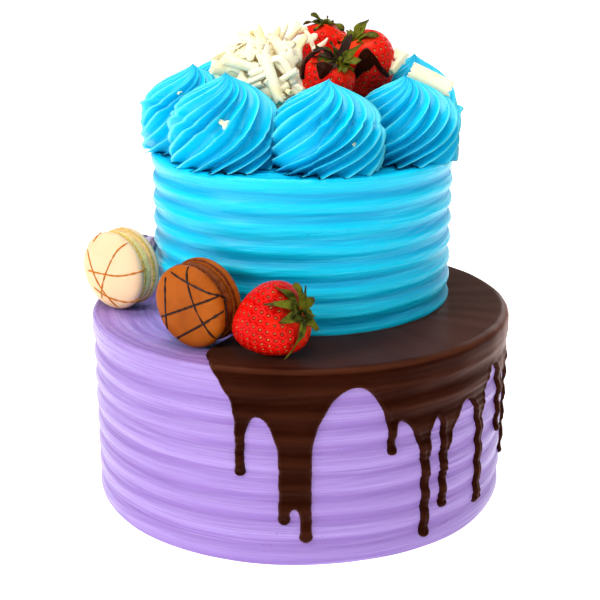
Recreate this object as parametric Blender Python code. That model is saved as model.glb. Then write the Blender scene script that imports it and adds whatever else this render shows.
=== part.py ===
"""Two-tier drip cake with chocolate glaze, piped rosettes, macarons, strawberries and curls.

Metres, +Z up. The origin is the middle of the lower tier's foot, the cake faces -Y.
"""
import math
import random

import bpy
import numpy as np
from mathutils import Matrix, Vector
from mathutils.geometry import delaunay_2d_cdt

MM = 0.001
GAP = 0.3 * MM
SKIN_GAP = 0.35 * MM

# Tiers: an 8 inch and a 6 inch cake, each with its buttercream
LOWER = dict(foot=105.0 * MM, top=105.9 * MM, height=97.0 * MM, crest=88.2 * MM, pitch=11.7 * MM,
             relief=1.5 * MM, rim=2.4 * MM, sectors=54, centre=(0.0, 0.0), base=0.0)
UPPER = dict(foot=76.6 * MM, top=77.1 * MM, height=77.6 * MM, crest=74.0 * MM, pitch=10.3 * MM,
             relief=1.6 * MM, rim=1.6 * MM, sectors=48, centre=(1.7 * MM, 16.6 * MM),
             base=LOWER["height"] + GAP)
UPPER_TOP = UPPER["base"] + UPPER["height"]

# Glaze on the lower tier: it runs from the bare front-left sector round the back
GLAZE_FULL = 1.8 * MM
GLAZE_EDGE = 0.6 * MM
GLAZE_TAPER = 3.0 * MM
GLAZE_START = -113.0
GLAZE_END = 138.0
ARCH_SLOPE = 1.4
ARCH_FALL = 22.0
# Below this depth in mm the glaze is only drips, which bridge the grooves of the side
DRIPS_FROM = 34.0
# Each drip: its angle in degrees, width and length; then the arch after it: depth and crown
FRONT_DRIPS = (
    (-105.0, 5.2, 51.8, 22.0, 0.36),
    (-93.8, 5.6, 75.4, 67.2, 0.5),
    (-88.2, 6.0, 84.5, 8.2, 0.56),
    (-65.8, 4.8, 43.8, 28.0, 0.12),
    (-55.3, 5.6, 90.0, 30.2, 0.5),
    (-49.2, 5.2, 77.7, 27.0, 0.6),
    (-33.8, 6.0, 85.0, 17.0, 0.5),
    (-19.8, 5.4, 56.3, 19.0, 0.5),
)
BACK_DRIPS = 10

# Rosettes: place round the upper tier in degrees, ring radius, own radius and height
ROSETTES = (
    (-76.5, 49.0, 26.5, 42.5),
    (-25.5, 56.0, 26.0, 41.0),
    (21.0, 62.0, 22.0, 45.0),
    (61.0, 54.5, 25.0, 42.0),
    (100.0, 53.0, 25.5, 43.0),
    (141.0, 54.5, 25.0, 43.0),
    (181.0, 54.8, 25.5, 43.0),
    (225.5, 52.0, 26.5, 44.0),
)
LOBES = 12
ROSETTE_TWIST = -155.0
# Height up the rosette, reach from its axis and depth of the grooves, as shares
ROSETTE_RINGS = (
    (0.0, 0.86, 0.15), (0.14, 0.98, 0.15), (0.37, 1.0, 0.15), (0.55, 0.90, 0.16),
    (0.70, 0.70, 0.17), (0.82, 0.43, 0.18), (0.92, 0.18, 0.18),
)

# Macarons on edge on the ledge: middle, facing, lean, radius and thickness
MACARONS = (
    ("cream", (-90.2, -6.2), -127.0, -1.5, 20.8, 19.0),
    ("chocolate", (-47.0, -66.8), -126.0, -5.0, 20.6, 20.5),
    ("mauve", (-80.8, 40.0), 163.0, 2.0, 12.4, 13.0),
)
MACARON_SECTORS = 18
FILLING_HALF = 2.0 * MM

# Strawberries: middle, direction from tip to stem, radius and length
STRAWBERRIES = (
    ("ledge_strawberry", (-12.4, -81.0, 114.3), (0.86, -0.16, 0.48), 17.0, 38.0),
    ("front_strawberry", (11.8, 2.0, 209.6), (0.42, -0.60, 0.68), 13.8, 31.0),
    ("right_strawberry", (34.2, 23.2, 214.8), (-0.38, -0.42, 0.82), 16.0, 36.0),
    ("back_strawberry", (12.2, 44.0, 219.0), (0.10, -0.10, 0.99), 13.0, 31.0),
)
BERRY_SECTORS = 12
# Place along the berry from tip to stem and reach from its axis, as shares
BERRY_RINGS = ((0.04, 0.26), (0.20, 0.62), (0.45, 0.92), (0.68, 1.0), (0.86, 0.86), (0.96, 0.50))
SEPALS = 7
LEAF = 0.45 * MM

# White chocolate curls: a core and a mound as rows of (radius, height) in mm, flakes on them,
# and the rolls that lie loose there
HEAP_CORE = ((20, 31), (30, 29), (32, 14), (22, 0))
HEAP_MOUND = ((9, 54), (19, 46), (24, 33), (21, 16))
MOUND_SPOT = (-21.0 * MM, 19.0 * MM)
MOUND_BULGE = 19.0 * MM
MOUND_MIDDLE = 31.0 * MM
HEAP_SEED = 12
MOUND_FLAKES = 18
SIDE_FLAKES = 7
SIDE_REACH = 25.0 * MM
SIDE_LEVEL = 22.0 * MM
FLAKE = 1.6 * MM
ROLLS = (
    ("roll_upright", (-16.7, -4.0, 224.1), (-9.5, -14.0, 202.6), 3.4),
    ("roll_flat", (-43.0, 5.0, 217.5), (-19.0, 6.0, 214.0), 4.4),
    ("roll_right", (54.3, 4.0, 214.7), (74.3, 2.0, 205.2), 4.8),
)


def clear_scene():
    """Remove every object that the file starts with."""
    for obj in list(bpy.data.objects):
        bpy.data.objects.remove(obj, do_unlink=True)


def food_material(name, colour, roughness, coat=0.0):
    """A plain food finish of one colour."""
    mat = bpy.data.materials.get(name)
    if mat:
        return mat
    mat = bpy.data.materials.new(name)
    mat.use_nodes = True
    shader = mat.node_tree.nodes["Principled BSDF"]
    shader.inputs["Base Color"].default_value = (*colour, 1.0)
    shader.inputs["Roughness"].default_value = roughness
    shader.inputs["Metallic"].default_value = 0.0
    shader.inputs["Coat Weight"].default_value = coat
    return mat


def add_object(name, points, faces, mat=None):
    """An object from points and faces, smooth where its faces meet gently."""
    mesh = bpy.data.meshes.new(name)
    mesh.from_pydata([tuple(map(float, point)) for point in points], [], faces)
    mesh.validate()
    mesh.shade_smooth()
    mesh.set_sharp_from_angle(angle=math.radians(50))
    obj = bpy.data.objects.new(name, mesh)
    bpy.context.scene.collection.objects.link(obj)
    if mat:
        mesh.materials.append(mat)
    return obj


def rings_to_faces(ring_count, sectors):
    """Quads between neighbouring rings of points, the first ring at the top."""
    faces = []
    for ring in range(ring_count - 1):
        for i in range(sectors):
            a = ring * sectors + i
            b = ring * sectors + (i + 1) % sectors
            faces.append((a, a + sectors, b + sectors, b))
    return faces


def turned_solid(name, rows, sectors, place, mat, start=0.0):
    """A closed turned solid from rows of (radius, height), top to bottom, put in its place."""
    points = []
    for radius, height in rows:
        for i in range(sectors):
            angle = start + 2 * math.pi * i / sectors
            points.append(Vector((radius * math.cos(angle), radius * math.sin(angle), height)))
    faces = rings_to_faces(len(rows), sectors)
    top, foot = len(points), len(points) + 1
    points += [Vector((0, 0, rows[0][1])), Vector((0, 0, rows[-1][1]))]
    last = (len(rows) - 1) * sectors
    for i in range(sectors):
        after = (i + 1) % sectors
        faces.append((top, i, after))
        faces.append((foot, last + after, last + i))
    return add_object(name, [place @ point for point in points], faces, mat)


def facing(direction, place):
    """A matrix that turns +Z along a direction and moves the origin to a place."""
    turn = Vector(direction).normalized().to_track_quat("Z", "Y").to_matrix().to_4x4()
    return Matrix.Translation(Vector(place)) @ turn


def tier_rows(tier):
    """A combed side from the rim of the flat top down to the foot, as (radius, height)."""
    top, height, rim = tier["top"], tier["height"], tier["rim"]

    def side(level):
        return tier["foot"] + (top - tier["foot"]) * level / height

    rows = [(top - rim, height), (top - 0.2 * rim, height - 0.5 * rim)]
    level = tier["crest"]
    half = tier["pitch"] / 2
    step = 0
    while level > 3 * MM:
        rows.append((side(level) - (tier["relief"] if step % 2 else 0.0), level))
        step += 1
        level = tier["crest"] - step * half
    rows.append((tier["foot"] - 0.6 * tier["relief"], 0.0))
    return rows


def add_tier(name, tier, mat):
    """One tier with its combed side."""
    x, y = tier["centre"]
    place = Matrix.Translation((x, y, tier["base"]))
    return turned_solid(name, tier_rows(tier), tier["sectors"], place, mat)


class TierSkin:
    """Flat layout of a tier's top and side, and the way back to the tier's flat facets."""

    def __init__(self, tier):
        self.rows = np.array(tier_rows(tier))
        steps = np.hypot(*np.diff(self.rows, axis=0).T)
        self.reach = self.rows[0, 0] + np.concatenate([[0.0], np.cumsum(steps)])
        self.step = 2 * math.pi / tier["sectors"]
        along = np.gradient(self.rows, axis=0)
        along[0] = (1.0, -1.0)
        out = np.stack([-along[:, 1], along[:, 0]], axis=1)
        self.normals = out / np.linalg.norm(out, axis=1)[:, None]

    def facet(self, angle):
        """How far a facet's middle pulls in a point at this angle."""
        return math.cos(self.step / 2) / math.cos((angle % self.step) - self.step / 2)

    def reach_at_depth(self, depth):
        """Reach in the layout of a point this far below the top."""
        heights = self.rows[0, 1] - self.rows[:, 1]
        return float(np.interp(depth, heights, self.reach))

    def flat(self, angle, reach):
        """Layout point at an angle and a reach."""
        radius = reach * self.facet(angle)
        return radius * math.cos(angle), radius * math.sin(angle)

    def lifted(self, point, lift):
        """The point in space, lifted off the tier."""
        angle = math.atan2(point[1], point[0])
        pull = self.facet(angle)
        reach = math.hypot(*point) / pull
        if reach <= self.reach[0]:
            return Vector((point[0], point[1], self.rows[0, 1] + lift))
        radius, height = (np.interp(reach, self.reach, self.rows[:, k]) for k in (0, 1))
        out, rise = (np.interp(reach, self.reach, self.normals[:, k]) for k in (0, 1))
        size = math.hypot(out, rise)
        radius += lift * out / size
        height += lift * rise / size
        return Vector((radius * pull * math.cos(angle), radius * pull * math.sin(angle), height))


def drip_table():
    """All drips and arches: the ones seen from the front, then an even run round the back."""
    draw = random.Random(5)
    drips = list(FRONT_DRIPS)
    first = FRONT_DRIPS[-1][0]
    step = (GLAZE_END - 6.0 - first) / BACK_DRIPS
    for i in range(1, BACK_DRIPS + 1):
        angle = first + i * step + draw.uniform(-2.0, 2.0) - 3.0
        arch = draw.uniform(12.0, 26.0)
        length = arch + draw.uniform(30.0, 62.0)
        drips.append((angle, draw.uniform(4.6, 6.4), length, arch, draw.uniform(0.3, 0.7)))
    return drips


def arch_points(left, right, crown_depth, crown_share, girth):
    """The glaze's edge between two drips: a skewed half ellipse, as (degrees, depth in mm)."""
    width = (right - left) * girth
    points = []
    steps = 3 if width < 8 else 6
    for i in range(steps + 1):
        share = 0.5 - 0.5 * math.cos(math.pi * i / steps)
        if share < crown_share:
            off, side = 1 - share / crown_share, crown_share * width
        else:
            off, side = (share - crown_share) / max(1 - crown_share, 0.01), (1 - crown_share) * width
        fall = min(ARCH_SLOPE * side, ARCH_FALL)
        depth = crown_depth + fall * (1 - math.sqrt(max(0.0, 1 - off * off)))
        points.append((left + share * (right - left), depth))
    return points


def drip_points(angle, width, length, girth):
    """The round end of one drip, as (degrees, depth in mm), a little fatter than its stem."""
    half = 0.56 * width / girth
    points = []
    for i in range(5):
        turn = math.pi * (1 - i / 4)
        points.append((angle + half * math.cos(turn), length - width / 2 + math.sin(turn) * width / 2))
    return points


def glaze_edge():
    """The glaze's lower edge from its first drip to its last, as (degrees, depth in mm)."""
    girth = math.radians(1) * LOWER["top"] / MM
    drips = drip_table()
    half = [0.5 * width / girth for _, width, *_ in drips]
    edge = arch_points(GLAZE_START, drips[0][0] - half[0], 0.0, 0.02, girth)
    for i, (angle, width, length, arch, crown) in enumerate(drips):
        edge += drip_points(angle, width, length, girth)
        if i + 1 < len(drips):
            after = drips[i + 1][0] - half[i + 1]
            edge += arch_points(angle + half[i], after, arch, crown, girth)
    edge += arch_points(drips[-1][0] + half[-1], GLAZE_END, 0.0, 0.98, girth)
    return edge


def glaze_layout(skin):
    """Closed outline of the glaze in the layout, and the number of points on its free edge."""
    outline = []
    for degrees, depth in glaze_edge():
        outline.append(skin.flat(math.radians(degrees), skin.reach_at_depth(depth * MM)))
    cx, cy = UPPER["centre"]
    half = math.pi / UPPER["sectors"]
    hole = (UPPER["foot"] + 2 * SKIN_GAP) / math.cos(half)
    ends = []
    for degrees in (GLAZE_END, GLAZE_START):
        point = Vector(skin.flat(math.radians(degrees), LOWER["top"]))
        ends.append(math.atan2(point.y - cy, point.x - cx))
    end, start = ends
    free = len(outline)
    sectors = [i * 2 * half for i in range(-UPPER["sectors"], UPPER["sectors"])]
    arc = [end] + [a for a in reversed(sectors) if start < a < end] + [start]
    outline += [(cx + hole * math.cos(a), cy + hole * math.sin(a)) for a in arc]
    return outline, free


def inside(points, outline):
    """Which points lie inside a closed outline."""
    x, y = np.asarray(points).T
    hit = np.zeros(len(x), bool)
    ring = np.asarray(outline)
    for (x0, y0), (x1, y1) in zip(ring, np.roll(ring, -1, axis=0)):
        crosses = (y0 > y) != (y1 > y)
        with np.errstate(divide="ignore", invalid="ignore"):
            hit ^= crosses & (x < (x1 - x0) * (y - y0) / (y1 - y0) + x0)
    return hit


def glaze_mesh(skin):
    """Triangles of the glaze in the layout: its outline, the tier's edges and the drips' middles."""
    outline, free = glaze_layout(skin)
    points = [Vector(point) / MM for point in outline]
    edges = [(i, (i + 1) % len(points)) for i in range(len(points))]

    def chain(path, closed=False):
        start = len(points)
        points.extend(Vector(point) / MM for point in path)
        edges.extend((start + i, start + i + 1) for i in range(len(path) - 1))
        if closed:
            edges.append((start + len(path) - 1, start))

    angles = [i * skin.step for i in range(LOWER["sectors"])]
    for row in range(len(skin.reach) - 1):
        crest = skin.rows[row, 0] > LOWER["foot"] - 0.1 * LOWER["relief"]
        if crest or skin.rows[row, 1] > LOWER["height"] - DRIPS_FROM * MM:
            chain([skin.flat(angle, skin.reach[row]) for angle in angles], closed=True)
    for angle in angles:
        chain([skin.flat(angle, reach) for reach in (skin.reach[0], skin.reach[-1])])
    for degrees, width, length, arch, _ in drip_table():
        levels = (min(arch, 0.5 * length), length - 0.55 * width)
        chain([skin.flat(math.radians(degrees), skin.reach_at_depth(level * MM)) for level in levels])
    points, _, faces, *_ = delaunay_2d_cdt(points, edges, [], 0, 1e-4)
    flat = np.array([point[:] for point in points]) * MM
    middles = np.array([flat[list(face)].mean(axis=0) for face in faces])
    kept = [face for face, hit in zip(faces, inside(middles, outline)) if hit]
    return flat, kept, np.array(outline[:free])


def border(faces):
    """Edges that only one face has, in that face's direction."""
    seen = {}
    for face in faces:
        for a, b in zip(face, face[1:] + face[:1]):
            seen[(a, b)] = True
    return [edge for edge in seen if (edge[1], edge[0]) not in seen]


def add_glaze(mat):
    """The glaze: one skin over the ledge, down the side and in to the drips."""
    skin = TierSkin(LOWER)
    flat, faces, free = glaze_mesh(skin)
    used = sorted({index for face in faces for index in face})
    place = {index: k for k, index in enumerate(used)}
    faces = [tuple(place[index] for index in face) for face in faces]
    flat = flat[used]
    edge = np.array([skin.lifted(point, 0.0) for point in free])
    count = len(flat)
    low, high = [], []
    for point in flat:
        under = skin.lifted(point, SKIN_GAP)
        far = np.linalg.norm(edge - np.array(under), axis=1).min()
        thick = GLAZE_EDGE + (GLAZE_FULL - GLAZE_EDGE) * min(1.0, far / GLAZE_TAPER)
        low.append(under)
        high.append(skin.lifted(point, SKIN_GAP + thick))
    shell = [tuple(reversed(face)) for face in faces]
    shell += [tuple(index + count for index in face) for face in faces]
    for a, b in border(faces):
        shell.append((a, b, b + count, a + count))
    return add_object("chocolate_glaze", low + high, shell, mat)


def rosette_limits(index, gap):
    """Planes halfway to the other rosettes, as (direction, distance) seen from this one."""
    spots = [rosette_spot(k) for k in range(len(ROSETTES))]
    here = spots[index]
    limits = []
    for k, other in enumerate(spots):
        if k != index:
            away = other - here
            limits.append((math.atan2(away.y, away.x), away.length / 2 - gap / 2))
    return limits


def rosette_spot(index):
    """Middle of a rosette's foot, seen from above."""
    degrees, ring, _, _ = ROSETTES[index]
    angle = math.radians(degrees)
    cx, cy = UPPER["centre"]
    return Vector((cx + ring * MM * math.cos(angle), cy + ring * MM * math.sin(angle)))


def rosette_points(index, swell=0.0):
    """Rings of a piped swirl, the tip first, its lobes turning clockwise on the way down."""
    degrees, _, radius, height = ROSETTES[index]
    spot = rosette_spot(index)
    limits = rosette_limits(index, GAP + 0.1 * MM - 2 * swell)
    base = UPPER_TOP + GAP
    points = [Vector((spot.x, spot.y, base + height * MM + 3 * swell))]
    for level, reach, groove in reversed(ROSETTE_RINGS):
        turn = math.radians(degrees * 3 + ROSETTE_TWIST * (1 - level))
        for j in range(2 * LOBES):
            angle = turn + math.pi * j / LOBES
            out = radius * MM * reach * (1 - groove * (j % 2)) + swell
            for toward, distance in limits:
                lean = math.cos(angle - toward)
                if lean > 0.05:
                    out = min(out, distance / lean)
            x, y = spot.x + out * math.cos(angle), spot.y + out * math.sin(angle)
            points.append(Vector((x, y, base + level * height * MM if level else base - swell)))
    return points, spot, base - swell


def add_rosette(index, mat, swell=0.0, name=None):
    """One piped rosette, cut flat where it meets its neighbours."""
    points, spot, base = rosette_points(index, swell)
    sectors = 2 * LOBES
    faces = [(0, 1 + i, 1 + (i + 1) % sectors) for i in range(sectors)]
    for a, b, c, d in rings_to_faces(len(ROSETTE_RINGS), sectors):
        faces += [(a + 1, b + 1, c + 1), (a + 1, c + 1, d + 1)]
    foot = len(points)
    points.append(Vector((spot.x, spot.y, base)))
    last = foot - sectors
    faces += [(foot, last + (i + 1) % sectors, last + i) for i in range(sectors)]
    return add_object(name or f"rosette_{index + 1}", points, faces, mat)


def macaron_frame(spot, azimuth, lean, radius, thick):
    """A matrix from the macaron's own frame, its axis +Z, to its place standing on the ledge."""
    turn, tilt = math.radians(azimuth), math.radians(lean)
    axis = (math.cos(tilt) * math.cos(turn), math.cos(tilt) * math.sin(turn), math.sin(tilt))
    reach = radius * math.cos(math.pi / MACARON_SECTORS)
    rise = reach * math.cos(tilt) + 0.3 * thick * abs(math.sin(tilt))
    level = LOWER["height"] + GAP + rise * MM
    return facing(axis, (spot[0] * MM, spot[1] * MM, level))


def add_macaron(name, spot, azimuth, lean, radius, thick, shell_mat, filling_mat):
    """Two domed shells with a frilled foot, and the filling between them."""
    place = macaron_frame(spot, azimuth, lean, radius, thick)
    r, half = radius * MM, thick * MM / 2
    shell = [(0.60 * r, half - 0.3 * MM), (0.88 * r, half - 1.6 * MM), (r, half - 4.2 * MM),
             (0.97 * r, FILLING_HALF + GAP / 2)]
    band = [(0.94 * r, FILLING_HALF - GAP / 2), (0.94 * r, GAP / 2 - FILLING_HALF)]
    flip = Matrix.Rotation(math.pi, 4, "X")
    turned_solid(f"{name}_macaron_face", shell, MACARON_SECTORS, place, shell_mat)
    turned_solid(f"{name}_macaron_filling", band, MACARON_SECTORS, place, filling_mat)
    turned_solid(f"{name}_macaron_back", shell, MACARON_SECTORS, place @ flip, shell_mat)


def berry_rows(radius, length, swell=0.0):
    """A strawberry's outline from stem to tip, with the middle of its length as origin."""
    rows = []
    for along, reach in reversed(BERRY_RINGS):
        rows.append((radius * MM * reach + swell, (along - 0.5) * (length * MM + 2 * swell)))
    return rows


def add_berry(name, middle, direction, radius, length, mat, swell=0.0):
    """One strawberry lying with its tip away from its stem direction."""
    place = facing(direction, [value * MM for value in middle])
    return turned_solid(name, berry_rows(radius, length, swell), BERRY_SECTORS, place, mat)


def sepal_points(angle, step, reach, width, lift, tip_lift):
    """One leaf of the star from its root outwards, on the berry's stem end, as six points."""
    root, half = 2.4 * MM, 0.5 * width
    middle = 0.52 * reach
    flat = [
        (root * math.cos(step / 2), -root * math.sin(step / 2), 0.4 * MM),
        (root, 0.0, 0.2 * MM),
        (middle, -half, lift), (middle * 1.05, 0.0, lift - 0.7 * MM), (middle, half, lift),
        (reach, 0.0, tip_lift),
    ]
    turn = Matrix.Rotation(angle, 3, "Z")
    return [turn @ Vector(point) for point in flat]


def leaf_star(name, radius, place, mat):
    """A thin star of leaves with a stub of stalk, both faces split in to triangles alike."""
    draw = random.Random(name)
    step = 2 * math.pi / SEPALS
    under, top, rim = [Vector((0, 0, 0.2 * MM))], [], []
    for i in range(SEPALS):
        reach = radius * MM * draw.uniform(0.72, 1.02)
        lift = draw.uniform(1.3, 2.6) * MM
        under += sepal_points(step * i, step, reach, draw.uniform(4.4, 6.0) * MM, lift,
                              lift + draw.uniform(-3.4, 2.2) * MM)
        a = 1 + 6 * i
        after = 1 + 6 * ((i + 1) % SEPALS)
        top += [(0, a, a + 1), (0, a + 1, after), (a, a + 2, a + 3), (a, a + 3, a + 1),
                (a + 1, a + 3, a + 4), (a + 1, a + 4, after), (a + 2, a + 5, a + 3),
                (a + 3, a + 5, a + 4)]
        rim += [a, a + 2, a + 5, a + 4]
    count = len(under)
    upper = [point + Vector((0, 0, LEAF)) for point in under]
    upper[0] = Vector((0, 0, 3.6 * MM))
    faces = [tuple(k + count for k in face) for face in top]
    faces += [tuple(reversed(face)) for face in top]
    for a, b in zip(rim, rim[1:] + rim[:1]):
        faces.append((a, b, b + count, a + count))
    return add_object(name, [place @ point for point in under + upper], faces, mat)


def join_all(name, pieces, mat, cutters=()):
    """One closed body from overlapping pieces, less the room that its neighbours need."""
    first, rest = pieces[0], pieces[1:]
    group = bpy.data.collections.new(name)
    for piece in rest:
        group.objects.link(piece)
    union = first.modifiers.new("join", "BOOLEAN")
    union.operation = "UNION"
    union.operand_type = "COLLECTION"
    union.collection = group
    for cutter in cutters:
        room = first.modifiers.new(cutter.name, "BOOLEAN")
        room.operation = "DIFFERENCE"
        room.object = cutter
    bpy.context.view_layer.update()
    graph = bpy.context.evaluated_depsgraph_get()
    mesh = bpy.data.meshes.new_from_object(first.evaluated_get(graph))
    for tool in (*rest, *cutters):
        bpy.data.objects.remove(tool, do_unlink=True)
    bpy.data.collections.remove(group)
    first.modifiers.clear()
    first.data = mesh
    first.name = name
    mesh.materials.clear()
    mesh.materials.append(mat)
    keep_largest_body(first)
    return first


def keep_largest_body(obj):
    """Drop the small loose scraps that cutting leaves: faces belong together across an edge."""
    mesh = obj.data
    parent = list(range(len(mesh.polygons)))

    def find(i):
        while parent[i] != i:
            parent[i] = parent[parent[i]]
            i = parent[i]
        return i

    owner = {}
    for face in mesh.polygons:
        for key in face.edge_keys:
            a, b = find(face.index), find(owner.setdefault(key, face.index))
            parent[a] = b
    roots = [find(i) for i in range(len(parent))]
    main = max(set(roots), key=roots.count)
    faces = [tuple(face.vertices) for face, root in zip(mesh.polygons, roots) if root == main]
    kept = sorted({i for face in faces for i in face})
    place = {index: k for k, index in enumerate(kept)}
    points = [mesh.vertices[i].co[:] for i in kept]
    fresh = bpy.data.meshes.new(obj.name)
    fresh.from_pydata(points, [], [[place[i] for i in face] for face in faces])
    fresh.shade_smooth()
    fresh.set_sharp_from_angle(angle=math.radians(50))
    for mat in mesh.materials:
        fresh.materials.append(mat)
    obj.data = fresh


def add_sepals(name, middle, direction, radius, length, mat):
    """The green leaves on a strawberry's stem end."""
    stem = (BERRY_RINGS[-1][0] - 0.5) * length * MM + GAP
    place = facing(direction, [value * MM for value in middle]) @ Matrix.Translation((0, 0, stem))
    return leaf_star(name, radius, place, mat)


def roll_section(radius, wall, turns, sides):
    """Cross-section of a rolled shaving: an open spiral strip, as one closed outline."""
    outer, inner = [], []
    for i in range(sides + 1):
        share = i / sides
        angle = 2 * math.pi * turns * share
        out = radius * (1 - 0.42 * share)
        outer.append((out * math.cos(angle), out * math.sin(angle)))
        inner.append(((out - wall) * math.cos(angle), (out - wall) * math.sin(angle)))
    return outer + inner[::-1]


def add_roll(name, start, end, radius, mat, swell=0.0):
    """One rolled curl between two points."""
    start, end = (Vector(point) * MM for point in (start, end))
    along = end - start
    place = facing(along, start - along.normalized() * swell)
    length = along.length + 2 * swell
    if swell:
        rows = [(radius * MM + swell, length), (radius * MM + swell, 0.0)]
        return turned_solid(name, rows, 10, place, mat)
    section = roll_section(radius * MM, 0.9 * MM, 1.2, 9)
    count = len(section)
    points = []
    for share, size in ((0.0, 1.0), (0.5, 0.94), (1.0, 1.0)):
        for x, y in section:
            points.append(place @ Vector((x * size, y * size, share * length)))
    faces = []
    for ring in range(2):
        for i in range(count):
            a, b = ring * count + i, ring * count + (i + 1) % count
            faces.append((a, b, b + count, a + count))
    for i in range(count // 2 - 1):
        a, b, c, d = i, i + 1, count - 2 - i, count - 1 - i
        faces.append((d, c, b, a))
        faces.append(tuple(k + 2 * count for k in (a, b, c, d)))
    return add_object(name, points, faces, mat)


def flake(name, root, direction, draw, widths):
    """A shaving of chocolate: a bent flake with a slanting, narrower far edge."""
    length, width = draw.uniform(9, 14) * MM, draw.uniform(*widths) * MM
    curl = draw.uniform(-4, 4) * MM
    place = facing(direction, root) @ Matrix.Rotation(draw.uniform(0, 2 * math.pi), 4, "Z")
    slant = draw.uniform(-0.45, 0.45) * width
    points = []
    for share, size in ((-0.25, 1.0), (0.5, 0.95), (1.0, draw.uniform(0.2, 0.6))):
        bend = curl * share * share
        half = 0.5 * width * size
        thick = 0.5 * FLAKE * (1.6 - share)
        for x, y in ((-half, -thick), (half, -thick), (half, thick), (-half, thick)):
            reach = share * length + (slant * x / half if share == 1.0 else 0.0)
            points.append(place @ Vector((x, y + bend, reach)))
    faces = [(3, 2, 1, 0), (8, 9, 10, 11)]
    for ring in (0, 4):
        for i in range(4):
            a, b = ring + i, ring + (i + 1) % 4
            faces.append((a, b, b + 4, a + 4))
    return add_object(name, points, faces)


def outward(turn, rise):
    """Direction at a turn round +Z and a rise above the level."""
    return Vector((math.cos(turn) * math.cos(rise), math.sin(turn) * math.cos(rise), math.sin(rise)))


def add_heap(mat):
    """The heap of shavings: a core that fills the ring of rosettes, a mound on it, and flakes."""
    draw = random.Random(HEAP_SEED)
    cx, cy = UPPER["centre"]
    base = UPPER_TOP + GAP
    middle, hill = Vector((cx, cy, base)), Vector((*MOUND_SPOT, base))
    pieces = []
    for name, rows, spot in (("heap_core", HEAP_CORE, middle), ("heap_mound", HEAP_MOUND, hill)):
        rows = [(radius * MM, height * MM) for radius, height in rows]
        pieces.append(turned_solid(name, rows, 13, Matrix.Translation(spot), mat))
    for i in range(MOUND_FLAKES):
        turn = math.pi * (3 - math.sqrt(5)) * i
        way = outward(turn, math.radians(6 + 78 * (i / (MOUND_FLAKES - 1)) ** 0.8))
        root = hill + way * MOUND_BULGE + Vector((0, 0, MOUND_MIDDLE))
        lean = way + Vector([draw.uniform(-0.35, 0.35) for _ in range(3)])
        pieces.append(flake(f"heap_{i}", root, lean, draw, (6, 10)))
    for i in range(SIDE_FLAKES):
        turn = math.radians(-40 + 200 * i / (SIDE_FLAKES - 1))
        root = middle + outward(turn, 0.0) * SIDE_REACH + Vector((0, 0, SIDE_LEVEL))
        way = outward(turn, math.radians(draw.uniform(25, 60)))
        pieces.append(flake(f"heap_side_{i}", root, way, draw, (5, 9)))
    return join_all("curl_heap", pieces, mat, heap_cutters())


def heap_cutters():
    """The room that rosettes, strawberries and rolls take out of the heap."""
    swell = SKIN_GAP
    cutters = [add_rosette(i, None, swell, f"room_rosette_{i}") for i in range(len(ROSETTES))]
    for name, middle, direction, radius, length in STRAWBERRIES[1:]:
        cutters.append(add_berry("room_" + name, middle, direction, radius, length, None, swell))
    for name, start, end, radius in ROLLS:
        cutters.append(add_roll("room_" + name, start, end, radius, None, swell))
    return cutters


def build():
    """Make every piece of the cake."""
    clear_scene()
    purple = food_material("purple_buttercream", (0.38, 0.23, 0.72), 0.5)
    blue = food_material("blue_buttercream", (0.0, 0.56, 0.85), 0.42)
    chocolate = food_material("dark_chocolate", (0.035, 0.010, 0.006), 0.28, coat=0.3)
    white = food_material("white_chocolate", (0.93, 0.86, 0.70), 0.45)
    red = food_material("strawberry_flesh", (0.72, 0.012, 0.010), 0.25, coat=0.4)
    green = food_material("strawberry_leaf", (0.10, 0.13, 0.015), 0.55)
    shells = {
        "cream": food_material("cream_shell", (0.90, 0.76, 0.52), 0.5),
        "chocolate": food_material("chocolate_shell", (0.48, 0.13, 0.02), 0.5),
        "mauve": food_material("mauve_shell", (0.32, 0.24, 0.34), 0.5),
    }
    fillings = {
        "cream": food_material("cream_filling", (0.90, 0.60, 0.20), 0.6),
        "chocolate": food_material("chocolate_filling", (0.20, 0.05, 0.01), 0.5),
        "mauve": food_material("mauve_filling", (0.45, 0.35, 0.45), 0.6),
    }
    add_tier("lower_tier", LOWER, purple)
    add_glaze(chocolate)
    add_tier("upper_tier", UPPER, blue)
    for index in range(len(ROSETTES)):
        add_rosette(index, blue)
    for name, *sizes in MACARONS:
        add_macaron(name, *sizes, shells[name], fillings[name])
    for name, *sizes in STRAWBERRIES:
        add_berry(name, *sizes, red)
        add_sepals(name + "_leaves", *sizes, green)
    for name, *sizes in ROLLS:
        add_roll(name, *sizes, white)
    add_heap(white)


build()
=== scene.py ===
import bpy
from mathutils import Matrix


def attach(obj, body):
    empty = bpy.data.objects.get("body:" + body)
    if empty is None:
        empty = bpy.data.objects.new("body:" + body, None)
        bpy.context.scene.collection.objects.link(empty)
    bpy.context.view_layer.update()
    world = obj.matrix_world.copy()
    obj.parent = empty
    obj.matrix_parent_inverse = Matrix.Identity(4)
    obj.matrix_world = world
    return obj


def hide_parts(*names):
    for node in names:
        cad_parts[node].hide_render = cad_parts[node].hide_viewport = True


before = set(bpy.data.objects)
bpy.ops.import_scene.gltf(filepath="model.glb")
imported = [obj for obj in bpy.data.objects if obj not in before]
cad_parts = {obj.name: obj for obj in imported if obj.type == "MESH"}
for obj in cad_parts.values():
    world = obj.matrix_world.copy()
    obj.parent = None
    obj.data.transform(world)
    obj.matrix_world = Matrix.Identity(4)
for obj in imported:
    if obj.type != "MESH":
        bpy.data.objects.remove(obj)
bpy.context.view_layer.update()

import math
import random

import bpy
import numpy as np

# Lower tier
# The real one is an 8 inch sponge cake under about 3 mm of purple buttercream. A comb held against
# the turning cake leaves its soft ridges, and a spatula leaves curved streaks on the top.

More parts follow.
